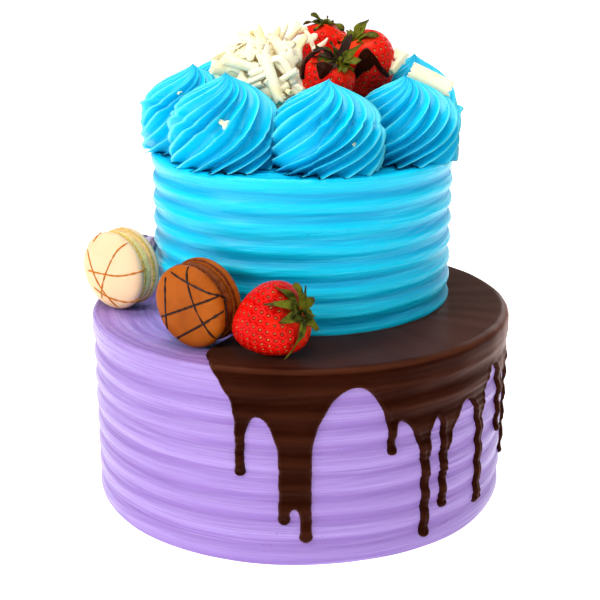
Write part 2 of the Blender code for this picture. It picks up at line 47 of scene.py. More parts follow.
MM = 0.001
LOWER = dict(foot=105.0 * MM, top=105.9 * MM, height=97.0 * MM, crest=88.2 * MM, pitch=11.7 * MM,
             relief=1.15 * MM, rim=2.4 * MM, centre=(0.0, 0.0), base=0.0, inner=45.0 * MM, seed=1,
             columns=420, side_rows=132, top_rows=40)
GROOVE_POWER = 1.75
COMB_DRIFT, COMB_DRAG = 0.8 * MM, 0.16 * MM
FOOT_TUCK, TUCK_HEIGHT = 1.2 * MM, 3.5 * MM
SKIN_GAP = 0.2 * MM
SWIRL_STEP = 0.8 * MM
STREAK_TURN, STREAK_HEIGHT = 1.6, 1.1 * MM


def waves(seed, size, *place, count=18):
    """Smooth unevenness, mostly -1 to 1: a mean of sines along random directions, a size apart."""
    draw = np.random.default_rng(seed)
    total = 0.0
    for _ in range(count):
        way = draw.normal(size=len(place))
        way *= draw.uniform(0.6, 1.4) * 2 * np.pi / size / np.linalg.norm(way)
        total = total + np.sin(sum(w * p for w, p in zip(way, place)) + draw.uniform(0, 2 * np.pi))
    return total * 0.7 / math.sqrt(count)


def ease(value, low, high):
    """Smooth step from 0 at low to 1 at high."""
    share = np.clip((value - low) / (high - low), 0, 1)
    return share * share * (3 - 2 * share)


def side_radius(tier, angle, level):
    """Radius of a combed side: a straight taper, less grooves of 1 - |cos|^1.75 that wander a little."""
    east, north = 0.08 * np.cos(angle), 0.08 * np.sin(angle)
    taper = tier["foot"] + (tier["top"] - tier["foot"]) * level / tier["height"]
    drift = COMB_DRIFT * waves(tier["seed"], 0.07, east, north, level)
    phase = np.pi * np.maximum(tier["crest"] - level - drift, 0) / tier["pitch"]
    depth = tier["relief"] * (1 + 0.28 * waves(tier["seed"] + 1, 0.05, east, north, level))
    drag = COMB_DRAG * waves(tier["seed"] + 2, 2.4 * MM, east * 0.05, north * 0.05, level)
    uneven = waves(tier["seed"] + 6, 0.03, east, north, level)
    teeth = COMB_DRAG * np.sin(7 * phase + 2 * east / (9 * MM)) * uneven
    tuck = FOOT_TUCK * np.clip(1 - level / TUCK_HEIGHT, 0, 1) ** 2
    return taper - depth * (1 - np.abs(np.cos(phase)) ** GROOVE_POWER) - tuck + drag + teeth - SKIN_GAP


def sheet_faces(rows, columns, wrap=True):
    """Quads between neighbouring rows of points; where it wraps, the last column meets the first."""
    row, column = np.meshgrid(np.arange(rows - 1), np.arange(columns if wrap else columns - 1), indexing="ij")
    here, after = row * columns + column, row * columns + (column + 1) % columns
    return np.stack([here, after, after + columns, here + columns], -1).reshape(-1, 4)


def closed_tube(points):
    """A tube of rings, rows by columns, with each end closed on the middle of its ring."""
    rows, columns = points.shape[:2]
    ring, last = np.arange(columns), (rows - 1) * columns
    after = (ring + 1) % columns
    low, high = np.full(columns, rows * columns), np.full(columns, rows * columns + 1)
    caps = np.vstack([np.stack([low, after, ring], -1), np.stack([high, last + ring, last + after], -1)])
    ends = np.stack([points[0].mean(0), points[-1].mean(0)])
    return np.vstack([points.reshape(-1, 3), ends]), [sheet_faces(rows, columns), caps]


def ended(field):
    """A value for each point of a closed tube: the grid's own, then one for the middle of each end."""
    return np.concatenate([field.reshape(-1, *field.shape[2:]), field[:1, 0], field[-1:, 0]])


def add_piece(name, points, blocks, finish, **fields):
    """An object from whole arrays of points and faces, turned outwards by the sign of its volume."""
    points = np.ascontiguousarray(points, np.float64).reshape(-1, 3)
    tri = np.concatenate([block[:, [0, k, k + 1]] for block in blocks for k in range(1, block.shape[1] - 1)])
    a, b, c = points[tri[:, 0]], points[tri[:, 1]], points[tri[:, 2]]
    if np.einsum("ij,ij->", a, np.cross(b, c)) < 0:
        blocks = [block[:, ::-1] for block in blocks]
    sizes = np.concatenate([np.full(len(block), block.shape[1]) for block in blocks]).astype(np.int32)
    corners = np.concatenate([block.ravel() for block in blocks]).astype(np.int32)
    mesh = bpy.data.meshes.new(name)
    mesh.vertices.add(len(points))
    mesh.vertices.foreach_set("co", points.astype(np.float32).ravel())
    mesh.loops.add(len(corners))
    mesh.loops.foreach_set("vertex_index", corners)
    mesh.polygons.add(len(sizes))
    mesh.polygons.foreach_set("loop_start", (np.cumsum(sizes) - sizes).astype(np.int32))
    mesh.update(calc_edges=True)
    mesh.shade_smooth()
    for key, values in fields.items():
        values = np.ascontiguousarray(values, np.float32)
        vector = values.ndim == 2
        layer = mesh.attributes.new(key, "FLOAT_VECTOR" if vector else "FLOAT", "POINT")
        layer.data.foreach_set("vector" if vector else "value", values.ravel())
    mesh.materials.append(finish.material)
    piece = bpy.data.objects.new(name, mesh)
    bpy.context.scene.collection.objects.link(piece)
    return piece


class Wire:
    """A socket in a finish; sums, products and powers of wires and numbers add Math nodes."""

    def __init__(self, finish, socket):
        self.finish = finish
        self.socket = socket

    def maths(self, operation, one, other):
        """A Math node on two values or wires."""
        return self.finish.node("Math", dict(operation=operation), {0: one, 1: other})

    def __add__(self, other):
        return self.maths("ADD", self, other)

    def __sub__(self, other):
        return self.maths("SUBTRACT", self, other)

    def __rsub__(self, other):
        return self.maths("SUBTRACT", other, self)

    def __mul__(self, other):
        return self.maths("MULTIPLY", self, other)

    __radd__ = __add__
    __rmul__ = __mul__

    def eased(self, low, high):
        """Smooth step from 0 at low to 1 at high."""
        return self.finish.node("MapRange", dict(interpolation_type="SMOOTHSTEP"), {0: self, 1: low, 2: high})


class Finish:
    """A material: the shader's constants, and a method that adds any node to it."""

    def __init__(self, name, constants):
        self.material = bpy.data.materials.new(name)
        self.material.use_nodes = True
        self.tree = self.material.node_tree
        self.shader = self.tree.nodes["Principled BSDF"]
        for key, value in constants.items():
            self.shader.inputs[key].default_value = value

    def node(self, kind, settings=(), sockets=(), out=0):
        """Add a node: its settings first, then a value or a wire for each socket that is named."""
        node = self.tree.nodes.new("ShaderNode" + kind)
        for key, value in dict(settings).items():
            setattr(node, key, value)
        for key, value in dict(sockets).items():
            self.feed(node.inputs[key], value)
        return Wire(self, node.outputs[out])

    def feed(self, socket, value):
        """Give a socket a wire, a colour or a number."""
        if isinstance(value, Wire):
            self.tree.links.new(value.socket, socket)
        elif socket.type == "RGBA":
            socket.default_value = (*value, 1.0)
        else:
            socket.default_value = value

    def give(self, **sockets):
        """Feed the shader's own sockets, with a name such as Base_Color for Base Color."""
        for key, value in sockets.items():
            self.feed(self.shader.inputs[key.replace("_", " ")], value)

    def field(self, name, out=2):
        """A value that the mesh holds for every point; out=1 reads it as a vector."""
        return self.node("Attribute", dict(attribute_name=name), out=out)

    def place(self, stretch=(1, 1, 1)):
        """Object coordinates, stretched."""
        spot = self.node("TexCoord", out="Object")
        return self.node("Mapping", sockets={"Vector": spot, "Scale": stretch})

    def noise(self, where, scale, detail=3.0, roughness=0.55):
        """Cloudy noise at a place: a larger scale gives smaller clouds."""
        return self.node("TexNoise", sockets={"Vector": where, "Scale": scale, "Detail": detail,
                                              "Roughness": roughness})

    def mixed(self, first, second, share):
        """A colour between two, by a share."""
        return self.node("Mix", dict(data_type="RGBA"), {0: share, 6: first, 7: second}, out=2)

    def bumped(self, height, distance, strength=1.0):
        """Relief from a height of 0 to 1 that stands for a distance."""
        self.give(Normal=self.node("Bump", sockets={"Strength": strength, "Distance": distance,
                                                    "Height": height}))


def buttercream(name, crest_colour, shaded_groove_colour, streak_and_highlight_colour, streak_share, edge=0.0):
    """Whipped butter and sugar: satin, dragged in streaks, with small air holes.

    Paler on its crests and darker in its grooves and air holes: painted highlight and shade.
    The edge is how far the thinnest crests take the colour of the streaks, as a painted highlight.
    """
    finish = Finish(name, {"Subsurface Weight": 0.1, "Subsurface Scale": 0.002, "Specular IOR Level": 0.25})
    drag = finish.field("drag", out=1)
    coarse = finish.noise(drag, 0.35, 3)
    fine = finish.noise(drag, 1.4, 4, 0.6)
    holes = finish.node("TexVoronoi", sockets={"Vector": finish.place((210, 210, 420)), "Scale": 1.0},
                        out="Distance")
    rare = finish.noise(finish.place(), 130.0, 1).eased(0.56, 0.64)
    pit_and_shade = (1 - holes.eased(0.06, 0.16)) * rare
    crest = (finish.field("crest") * 0.7 + coarse * 0.6 + fine * 0.25).eased(0.35, 1.05)
    # Painted shade: the grooves take the darker groove colour, the crests the paler one
    colour = finish.mixed(shaded_groove_colour, crest_colour, crest)
    colour = finish.mixed(colour, streak_and_highlight_colour, (coarse + fine * 0.5).eased(0.72, 0.98) * streak_share)
    # Painted shade: the air holes are darkened with the groove colour
    colour = finish.mixed(colour, shaded_groove_colour, pit_and_shade * 0.4)
    # Painted highlight: the thinnest crest lips take the pale streak colour
    if edge:
        colour = finish.mixed(colour, streak_and_highlight_colour, finish.field("crest").eased(0.8, 0.98) * edge)
    finish.give(Base_Color=colour, Roughness=0.36 - 0.16 * crest + 0.16 * fine)
    finish.bumped(coarse * 0.7 + fine * 0.6 - pit_and_shade * 0.6, 0.4 * MM)
    return finish


def tier_grid(tier):
    """Rings of a tier from its foot up: the combed side, a round rim, then the top inwards."""
    angle = np.linspace(-np.pi, np.pi, tier["columns"], endpoint=False)[None, :]
    rim, height = tier["rim"], tier["height"]
    levels = np.linspace(0, height - rim, tier["side_rows"])[:, None]
    side = side_radius(tier, angle, levels)
    ring = 0.1 * np.cos(angle), 0.1 * np.sin(angle)
    lump = 0.35 * MM * (waves(tier["seed"] + 3, 0.03, *ring) + waves(tier["seed"] + 7, 0.008, *ring))
    turn = np.linspace(0, np.pi / 2, 7)[1:, None]
    shoulder = side[-1:] - rim + rim * np.sin(np.pi / 2 - turn) + lump * np.sin(turn)
    rise = height - rim + rim * np.sin(turn) + 0.5 * lump * np.sin(turn)
    inwards = np.linspace(0, 1, tier["top_rows"])[1:, None] ** 1.2
    flat = shoulder[-1:] + (tier["inner"] - shoulder[-1:]) * inwards
    place = flat * np.cos(angle), flat * np.sin(angle)
    swirl = np.sin(flat / SWIRL_STEP + 1.5 * angle + 2.2 * waves(tier["seed"] + 4, 0.03, *place))
    relief = 0.22 * MM * swirl + 0.3 * MM * waves(tier["seed"] + 5, 0.035, *place)
    top = rise[-1:] + (relief - 0.3 * MM) * ease(inwards, 0, 0.08)
    radius = np.vstack([side, shoulder, flat])
    level = np.vstack([np.broadcast_to(levels, side.shape), rise, top])
    inset = flat[0].mean() - flat.mean(1, keepdims=True)
    run = np.vstack([levels, height + rim * turn, height + 3 * rim + inset])
    # The crest field sets painted shade: darker in the comb's grooves and the top's swirl hollows, lighter on
    # the rim
    wave = np.cos(np.pi * np.maximum(tier["crest"] - levels, 0) / tier["pitch"]) ** 2
    crest = np.vstack([np.broadcast_to(wave, side.shape), np.ones_like(shoulder), 0.45 + 0.35 * swirl])
    return angle, radius, level, run, crest


def add_tier(name, tier, finish):
    """A tier's skin as one closed piece; its drag field runs round the cake, as the comb did."""
    angle, radius, level, run, crest = tier_grid(tier)
    x, y = tier["centre"]
    points = np.stack([x + radius * np.cos(angle), y + radius * np.sin(angle),
                       tier["base"] + level], -1)
    wide = np.broadcast_to(angle, radius.shape)
    streak = np.broadcast_to(run / STREAK_HEIGHT, radius.shape)
    drag = np.stack([STREAK_TURN * np.cos(wide), STREAK_TURN * np.sin(wide), streak], -1)
    return add_piece(name, *closed_tube(points), finish, crest=ended(crest), drag=ended(drag))


purple = buttercream("purple_buttercream_icing", (0.325, 0.208, 0.54), (0.265, 0.150, 0.46),
                     (0.50, 0.38, 0.74), 0.34)
purple_tier = add_tier("purple_tier", LOWER, purple)
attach(purple_tier, "root")
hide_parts("lower_tier")

# Upper tier
# A 6 inch cake of the same make, in sky blue buttercream with wide comb ridges. It stands a little
# to the back of the lower one, on a dab of buttercream, and leaves a ledge for the toppings.

UPPER = dict(foot=76.6 * MM, top=77.1 * MM, height=77.6 * MM, crest=74.0 * MM, pitch=10.3 * MM,
             relief=1.55 * MM, rim=1.8 * MM, centre=(1.7 * MM, 16.6 * MM), base=97.3 * MM,
             inner=20.0 * MM, seed=21, columns=360, side_rows=120, top_rows=36)
UPPER_TOP = UPPER["base"] + UPPER["height"]

blue = buttercream("blue_buttercream_icing", (0.0, 0.58, 0.84), (0.0, 0.36, 0.64), (0.03, 0.74, 0.93), 0.35)
blue_tier = add_tier("blue_tier", UPPER, blue)
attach(blue_tier, "root")
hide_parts("upper_tier")

# Chocolate glaze
# Warm ganache poured on the ledge and pushed over its rim with a spatula. It runs down the side in
# arches and drips, fills the comb's grooves in part, and sets with a round edge about 2 mm thick.

GLAZE_THICK = 1.7 * MM
GLAZE_EDGE = 1.9 * MM
GLAZE_SINK = 0.3 * MM
GLAZE_START, GLAZE_END = -120.0, 138.0
ARCH_SLOPE, ARCH_FALL = 2.0, 30.0
# Steps of the grid in mm: wide, close at the drips, and down the side to its limit
WIDE_STEP, CLOSE_STEP, FINE_STEP = 1.35, 0.55, 0.05
DOWN_STEP, DOWN_LIMIT = 0.72, 92.0
SNAP_DISTANCE = 0.22
GLAZE_RUN = 0.16 * MM
BEAD_HEIGHT, BEAD_PLACE, BEAD_WIDTH = 0.45 * MM, 1.7 * MM, 1.0 * MM
BACK_DRIPS = 10
# Each drip: its angle in degrees, width and length; then the arch after it: depth and crown
FRONT_DRIPS = (
    (-105.0, 5.2, 51.8, 22.0, 0.36),
    (-93.8, 5.6, 75.4, 67.2, 0.5),
    (-88.2, 6.0, 84.5, 8.2, 0.56),
    (-65.8, 4.8, 43.8, 28.0, 0.12),
    (-55.3, 5.6, 90.0, 30.2, 0.5),
    (-49.2, 5.2, 77.7, 27.0, 0.6),
    (-33.8, 6.0, 85.0, 17.0, 0.5),
    (-19.8, 5.4, 56.3, 19.0, 0.5),
)
# The glaze's blunt left end on the ledge and over its rim: angle in degrees and mm down
LEFT_END = ((-119.5, -60.0), (-119.5, -35.0), (-119.4, -25.0), (-119.0, -17.0), (-118.2, -12.0),
            (-117.3, -9.2), (-116.3, -7.6), (-115.2, -5.6), (-114.4, -3.4), (-113.7, -1.2), (-112.8, 0.6),
            (-111.5, 2.6), (-110.4, 5.0), (-109.5, 8.5), (-108.2, 12.5), (-107.1, 17.0), (-106.6, 22.0))
GIRTH = math.radians(1) * LOWER["top"] / MM


def through(knots, count):
    """A smooth line of count points through knots: cubics with slopes from the knots on either side."""
    knots = np.asarray(knots, float)
    ends = np.vstack([2 * knots[:1] - knots[1:2], knots, 2 * knots[-1:] - knots[-2:-1]])
    place = np.linspace(0, len(knots) - 1, count)
    k = np.minimum(place.astype(int), len(knots) - 2)
    t = (place - k)[:, None]
    a, b, c, d = ends[k], ends[k + 1], ends[k + 2], ends[k + 3]
    square, cube = 2 * a - 5 * b + 4 * c - d, 3 * b - a - 3 * c + d
    return 0.5 * (2 * b + (c - a) * t + square * t ** 2 + cube * t ** 3)


def drip_table():
    """All drips and arches: the ones seen from the front, then an even run round the back."""
    draw = random.Random(5)
    drips = list(FRONT_DRIPS)
    first = FRONT_DRIPS[-1][0]
    step = (GLAZE_END - 6.0 - first) / BACK_DRIPS
    for i in range(1, BACK_DRIPS + 1):
        angle = first + i * step + draw.uniform(-2.0, 2.0) - 3.0
        arch = draw.uniform(12.0, 26.0)
        length = arch + draw.uniform(30.0, 62.0)
        drips.append((angle, draw.uniform(4.6, 6.4), length, arch, draw.uniform(0.3, 0.7)))
    return drips


def arch_line(left, right, crown_depth, crown_share, limits=(200.0, 200.0)):
    """The edge between two drips: a skewed arch, steeper at its feet, as (degrees, depth in mm)."""
    width = (right - left) * GIRTH
    share = 0.5 - 0.5 * np.cos(np.linspace(0, np.pi, 25))
    rising = share < crown_share
    off = np.where(rising, 1 - share / crown_share, (share - crown_share) / max(1 - crown_share, 0.01))
    run = np.where(rising, crown_share, 1 - crown_share) * width
    fall = np.minimum(ARCH_SLOPE * run, ARCH_FALL)
    fall = np.minimum(fall, np.maximum(np.where(rising, *limits) - 12.0 - crown_depth, 2.5))
    depth = crown_depth + fall * (0.5 * off ** 2 + 0.5 * (1 - np.sqrt(np.maximum(0, 1 - off * off))))
    return np.stack([left + share * (right - left), depth], -1)


def drip_line(angle, width, length, start, end):
    """One drip: down its left side, round its end and up its right side, its stem slightly wavy."""
    turn = np.linspace(np.pi, 0, 15)
    half = 0.56 * width
    tip = np.stack([half * np.cos(turn), length - width / 2 + half * np.sin(turn)], -1)
    sides = []
    for side, top in ((-1, start), (1, end)):
        level = np.linspace(top, length - 0.9 * width, max(int((length - top) / 1.5), 3))[1:]
        sway = 0.16 * np.sin(level * 0.54 + angle) + 0.10 * np.sin(level * 1.3 + 2 * angle)
        swell = 0.5 - 0.05 * np.sin(np.pi * np.clip((level - top) / max(length - top, 1), 0, 1))
        sides.append(np.stack([side * width * swell + sway * ease(level, top, top + 6), level], -1))
    line = np.vstack([sides[0], tip, sides[1][::-1]])
    line[:, 0] = angle + line[:, 0] / GIRTH
    return line


def glaze_outline():
    """The glaze's closed outline, as (mm round the rim, mm down the skin); negative is on the ledge."""
    drips = drip_table()
    half = [0.5 * width / GIRTH for _, width, *_ in drips]
    arches = [through(LEFT_END, 60)]
    for k in range(len(drips) - 1):
        limits = drips[k][2], drips[k + 1][2]
        arches.append(arch_line(drips[k][0] + half[k], drips[k + 1][0] - half[k + 1], *drips[k][3:], limits))
    arches.append(arch_line(drips[-1][0] + half[-1], GLAZE_END, 0.0, 0.98))
    line = [[(GLAZE_START + 0.5, -80.0)]]
    for k, (angle, width, length, *_) in enumerate(drips):
        line += [arches[k], drip_line(angle, width, length, arches[k][-1, 1], arches[k + 1][0, 1])]
    line += [arches[-1], [(GLAZE_END, -80.0)]]
    line = np.vstack(line)
    rim = LOWER["rim"] / MM
    down = line[:, 1]
    down = np.where(down < 0, down, np.where(down < rim, down * np.pi / 2, down - rim + rim * np.pi / 2))
    return np.stack([line[:, 0] * GIRTH, down], -1)


def outline_distance(points, outline):
    """Distance of points from a closed outline, positive inside, and the nearest place on it."""
    start, way = outline, np.roll(outline, -1, axis=0) - outline
    size = np.maximum((way ** 2).sum(1), 1e-9)
    distance, nearest = np.empty(len(points)), np.empty_like(points)
    for first in range(0, len(points), 600):
        spot = points[first:first + 600, None, :]
        share = np.clip(((spot - start) * way).sum(2) / size, 0, 1)
        foot = start + share[..., None] * way
        gap = np.linalg.norm(spot - foot, axis=2)
        best = gap.argmin(1)
        rows = np.arange(len(best))
        nearest[first:first + 600] = foot[rows, best]
        x, y = spot[..., 0], spot[..., 1]
        over = (start[:, 1] > y) != (np.roll(outline, -1, axis=0)[:, 1] > y)
        slope = np.where(way[:, 1] == 0, 1e-12, way[:, 1])
        crossed = over & (x < way[:, 0] * (y - start[:, 1]) / slope + start[:, 0])
        sign = np.where(crossed.sum(1) % 2, 1.0, -1.0)
        distance[first:first + 600] = gap[rows, best] * sign
    return distance, nearest


def glaze_columns():
    """Places round the rim in mm, close together where drips run and wide apart elsewhere."""
    fine = np.arange(GLAZE_START * GIRTH - 2.0, GLAZE_END * GIRTH + 2.0, FINE_STEP)
    close = np.zeros_like(fine)
    for angle, width, *_ in drip_table():
        close = np.maximum(close, 1 - ease(np.abs(fine - angle * GIRTH), width / 2 + 1.5, width / 2 + 4.0))
    close = np.maximum(close, fine < FRONT_DRIPS[0][0] * GIRTH)
    count = np.cumsum((1 / WIDE_STEP + close * (1 / CLOSE_STEP - 1 / WIDE_STEP)) * FINE_STEP)
    return np.interp(np.arange(0, count[-1]), count, fine)


def skin_point(around, down, lift, smooth):
    """A place on the lower tier's skin, by mm round and down it, lifted off it by metres.

    On the ledge the radius shrinks from the rim inwards, on the rim it turns a quarter circle, and on
    the side it follows the combed radius, whose grooves a smooth share of 1 would fill.
    """
    angle = around / GIRTH * np.pi / 180
    rim, height = LOWER["rim"], LOWER["height"]
    quarter = rim * np.pi / 2
    down = down * MM
    turn = np.clip(down / rim, 0, np.pi / 2)
    level = np.clip(height - rim - (down - quarter), 0, height - rim)
    combed = side_radius(LOWER, angle, level)
    taper = LOWER["foot"] + (LOWER["top"] - LOWER["foot"]) * level / height
    side = combed + (taper - 0.3 * MM - combed) * smooth
    edge = side - rim
    radius = edge + np.minimum(down, 0) + (rim + lift) * np.sin(turn)
    rise = np.where(down > quarter, level, height - rim + (rim + lift) * np.cos(turn))
    return np.stack([radius * np.cos(angle), radius * np.sin(angle), rise], -1)


def glaze_grid():
    """The glaze's grid, snapped to its outline: (around, down), how far inside, and the faces kept."""
    around = glaze_columns()
    angle = around / GIRTH * np.pi / 180
    cx, cy = UPPER["centre"]
    ray = cx * np.cos(angle) + cy * np.sin(angle)
    reach = UPPER["foot"] - 1.6 * MM
    hole = ray + np.sqrt(ray ** 2 - cx ** 2 - cy ** 2 + reach ** 2)
    ledge = (hole - LOWER["top"] + LOWER["rim"]) / MM
    top = ledge[None, :] * np.linspace(1, 0, 24)[:-1, None] ** 1.1
    lower = np.arange(0, DOWN_LIMIT, DOWN_STEP)[:, None] + np.zeros_like(ledge)
    down = np.vstack([top, lower])
    grid = np.stack([np.broadcast_to(around, down.shape), down], -1)
    rows, columns = down.shape
    distance, nearest = outline_distance(grid.reshape(-1, 2), glaze_outline())
    spot, reached = grid.reshape(-1, 2).copy(), distance > SNAP_DISTANCE
    faces = sheet_faces(rows, columns, wrap=False)
    kept = faces[reached[faces].any(1)]
    snap = np.zeros(len(spot), bool)
    snap[kept.ravel()] = True
    snap &= ~reached
    spot[snap] = nearest[snap]
    distance[snap] = 0
    return spot, np.maximum(distance, 0), kept


def glaze_skin():
    """Upper and lower skin of the glaze: a quarter ellipse from its outline up, a bead inside its edge."""
    spot, inside, faces = glaze_grid()
    used, faces = np.unique(faces, return_inverse=True)
    faces = faces.reshape(-1, 4)
    spot, inside = spot[used], inside[used] * MM
    around, down = spot.T
    share = 1 - np.clip(inside / GLAZE_EDGE, 0, 1)
    angle = around / GIRTH * np.pi / 180
    run = GLAZE_RUN * waves(31, 0.02, 0.1 * np.cos(angle), 0.1 * np.sin(angle), down * MM * 0.4)
    bead = BEAD_HEIGHT * np.exp(-((inside - BEAD_PLACE) / BEAD_WIDTH) ** 2) * ease(down, -6.0, 4.0)
    thick = (GLAZE_THICK + run + bead) * np.sqrt(1 - share ** 2)
    high = skin_point(around, down, thick - 0.15 * MM * (share == 1), 0.12 * ease(inside, 0.5 * MM, 4 * MM))
    low = skin_point(around, down, np.full_like(thick, -GLAZE_SINK), np.zeros_like(thick))
    edges = np.concatenate([faces[:, [k, (k + 1) % 4]] for k in range(4)])
    key = edges[:, 0] * len(used) + edges[:, 1]
    back = edges[:, 1] * len(used) + edges[:, 0]
    rim = edges[~np.isin(key, back)]
    count = len(used)
    wall = np.stack([rim[:, 1], rim[:, 0], rim[:, 0] + count, rim[:, 1] + count], -1)
    drag = np.stack([around / 9, down / 1.6, np.zeros_like(down)], -1)
    blocks = [faces, faces[:, ::-1] + count, wall]
    return np.vstack([high, low]), blocks, np.vstack([drag, drag])


def dark_chocolate(name):
    """Set ganache: nearly black brown, satin, with faint streaks and clouds, and browner on its ridges as a
    painted highlight.
    """
    finish = Finish(name, {"Specular IOR Level": 0.035, "Specular Tint": (1.0, 0.4, 0.25, 1.0),
                           "Sheen Weight": 0.24, "Sheen Roughness": 0.4,
                           "Sheen Tint": (1.0, 0.34, 0.20, 1.0)})
    streak = finish.noise(finish.field("drag", out=1), 1.0, 4, 0.6)
    cloud = finish.noise(finish.place(), 32.0, 3)
    mottle = (cloud * 0.7 + streak * 0.5).eased(0.4, 0.85)
    colour = finish.mixed((0.011, 0.0015, 0.0005), (0.022, 0.0036, 0.0012), mottle)
    # Painted highlight: browner along the comb's crests and in a line along the ledge's rim
    colour = finish.mixed(colour, (0.060, 0.016, 0.007), finish.field("ridge") * (0.2 + 0.6 * cloud))
    finish.give(Base_Color=colour, Roughness=0.18 + 0.18 * cloud + 0.1 * streak)
    finish.bumped(streak * 0.5 + cloud * 0.5, 0.25 * MM, 0.6)
    return finish


def glaze_ridges(points):
    """Painted highlights on the glaze: cos^6 on the comb's crests, and a bell curve at the ledge's rim."""
    level = points[:, 2]
    crests = np.cos(np.pi * (LOWER["crest"] - level) / LOWER["pitch"]) ** 6
    crests = crests * (level < LOWER["crest"] + 4 * MM)
    rim = 2 * np.exp(-((level - LOWER["height"] - 0.6 * MM) / (0.8 * MM)) ** 2)
    outside = np.hypot(points[:, 0], points[:, 1]) > LOWER["top"] - 1.8 * MM
    return np.clip(0.6 * crests + rim * outside, 0, 2)


ganache = dark_chocolate("set_ganache")
glaze_points, glaze_blocks, glaze_drag = glaze_skin()
glaze = add_piece("ganache_drip", glaze_points, glaze_blocks, ganache, drag=glaze_drag,
                  ridge=glaze_ridges(glaze_points))
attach(glaze, "root")
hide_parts("chocolate_glaze")

# Rosettes
# Eight swirls of blue buttercream piped in one go with a large star nozzle that turns as it lifts, so
# that thin crests wind clockwise to a curled tip. Neighbours press against each other.

# Place round the upper tier in degrees, ring radius, own radius and height in mm
ROSETTES = (
    (-76.5, 49.0, 26.5, 42.5),
    (-25.5, 56.0, 26.0, 41.0),
    (21.0, 62.0, 22.0, 45.0),
    (61.0, 54.5, 25.0, 42.0),
    (100.0, 53.0, 25.5, 43.0),
    (141.0, 54.5, 25.0, 43.0),
    (181.0, 54.8, 25.5, 43.0),
    (225.5, 52.0, 26.5, 44.0),
)
# Where each one's second turn of the nozzle starts, as an angle from its place round the tier
SEAM_STARTS = (-0.5, 0.5, 0.9, 2.0, 3.0, 1.0, 0.2, -1.6)
SEAM_HEIGHT, SEAM_DROP = 0.62, 0.5
LOBES = 16
GROOVE_DEPTH, GROOVE_FALL = 0.20, 1.5
FOOT_SHARE = 0.2
ROSETTE_TWIST = math.radians(-155.0)
ROSETTE_COLUMNS, ROSETTE_ROWS = 400, 96


def rosette_spot(index):
    """Middle of a rosette's foot, seen from above."""
    degrees, ring, _, _ = ROSETTES[index]
    angle = math.radians(degrees)
    cx, cy = UPPER["centre"]
    return np.array([cx + ring * MM * math.cos(angle), cy + ring * MM * math.sin(angle)])


def rosette_grid(index):
    """A piped swirl: reach falls as 1 - x^4 to a thin tip; crests are cusps between round grooves.

    Each groove falls gently from one crest and rises steeply to the next: its place is 1 - (1 - u)^1.5.
    Where the nozzle came round a second time, a step winds down from a blob and shifts the crests.
    """
    degrees, _, radius, height = ROSETTES[index]
    level = (1 - np.linspace(1, 0, ROSETTE_ROWS) ** 1.25)[:, None]
    lobe = np.linspace(0, LOBES, ROSETTE_COLUMNS, endpoint=False)[None, :]
    walk = lobe % 1.0
    around = (np.floor(lobe) + 1 - (1 - walk) ** GROOVE_FALL) * 2 * np.pi / LOBES
    turn = math.radians(3 * degrees) + ROSETTE_TWIST * (1 - level) + 0.18 * np.sin(2 * np.pi * level)
    seam_start = math.radians(degrees) + SEAM_STARTS[index]
    wound = ((turn + around - seam_start) % (2 * np.pi)) / (2 * np.pi)
    seam = SEAM_HEIGHT - SEAM_DROP * wound
    strength = np.clip(1 - wound, 0, 1) ** 0.7 * ease(wound, 0, 0.03)
    below = ease(seam - level, -0.02, 0.05) * strength
    climb = np.clip((level - FOOT_SHARE) / (1 - FOOT_SHARE), 0, 1)
    foot = 0.88 + 0.12 * np.sin(np.pi / 2 * np.clip(level / FOOT_SHARE, 0, 1))
    reach = np.where(level < FOOT_SHARE, foot, (1 - climb ** 4) * (1 - 0.9 * np.exp((climb - 1) / 0.14)))
    reach = reach * (1 + 0.04 * below - 0.05 * strength * np.exp(-((level - seam - 0.03) / 0.03) ** 2))
    uneven = 0.28 * waves(40 + index, 2.0, 1.6 * np.cos(around), 1.6 * np.sin(around), 1.5 * level)
    shift = (uneven + 0.2 * below) * 2 * np.pi / LOBES
    crest = np.abs(2 * walk - 1)
    groove = 1 - crest ** 2.2
    vary = waves(60 + index, 1.0, np.cos(around), np.sin(around), 0.7 * level)
    deep = (GROOVE_DEPTH + 0.07 * vary) * (1 + 0.5 * climb)
    frill = np.clip(1 - level / 0.16, 0, 1) ** 1.5
    flare = frill * crest ** 3 * (0.10 + 0.08 * waves(80 + index, 0.5, np.cos(around), np.sin(around)))
    body = reach * (1.02 + 0.02 * crest ** 10 - deep * groove) + flare
    lean = -0.05 * crest ** 4 * np.sin(np.pi * np.clip(level, 0, 1)) ** 0.5
    curl = frill * 0.06 * waves(120 + index, 0.4, np.cos(around), np.sin(around), 2 * level)
    angle = turn + around + lean + curl - shift
    blob = np.exp(-((wound - 0.02) * 2 * np.pi / 0.16) ** 2 - ((level - 0.60) / 0.05) ** 2)
    out = radius * MM * (body + 0.10 * blob)
    spot = rosette_spot(index)
    for k in range(len(ROSETTES)):
        if k != index:
            away = rosette_spot(k) - spot
            limit = np.linalg.norm(away) / 2 + 0.2 * MM
            facing = np.cos(angle - math.atan2(away[1], away[0]))
            wall = limit / np.maximum(facing, 0.05)
            out = np.where(out > wall, wall - 0.25 * (out - wall) * np.exp(-(out - wall) / (3 * MM)), out)
    tip = 1.3 * MM * np.clip((level - 0.9) / 0.1, 0, 1) ** 2
    bend = 0.9 * MM * np.sin(np.pi * level) * waves(100 + index, 1.5, level) + tip * math.cos(2.4 * index)
    rise = height * MM * level - 1.2 * MM * frill * crest ** 2 * (level > 0)
    points = np.stack([spot[0] + bend + out * np.cos(angle), spot[1] + out * np.sin(angle),
                       UPPER_TOP + 0.1 * MM + np.maximum(rise, 0) + 0 * angle], -1)
    drag = 7 * np.cos(around) + 0 * level, 7 * np.sin(around) + 0 * level, 2.5 * level + 0 * around
    # The second value is the crest field, which paints shade in the grooves and a highlight on the crest lips
    return points, 0.3 + 0.7 * crest ** 2 + 0 * level, np.stack(drag, -1)
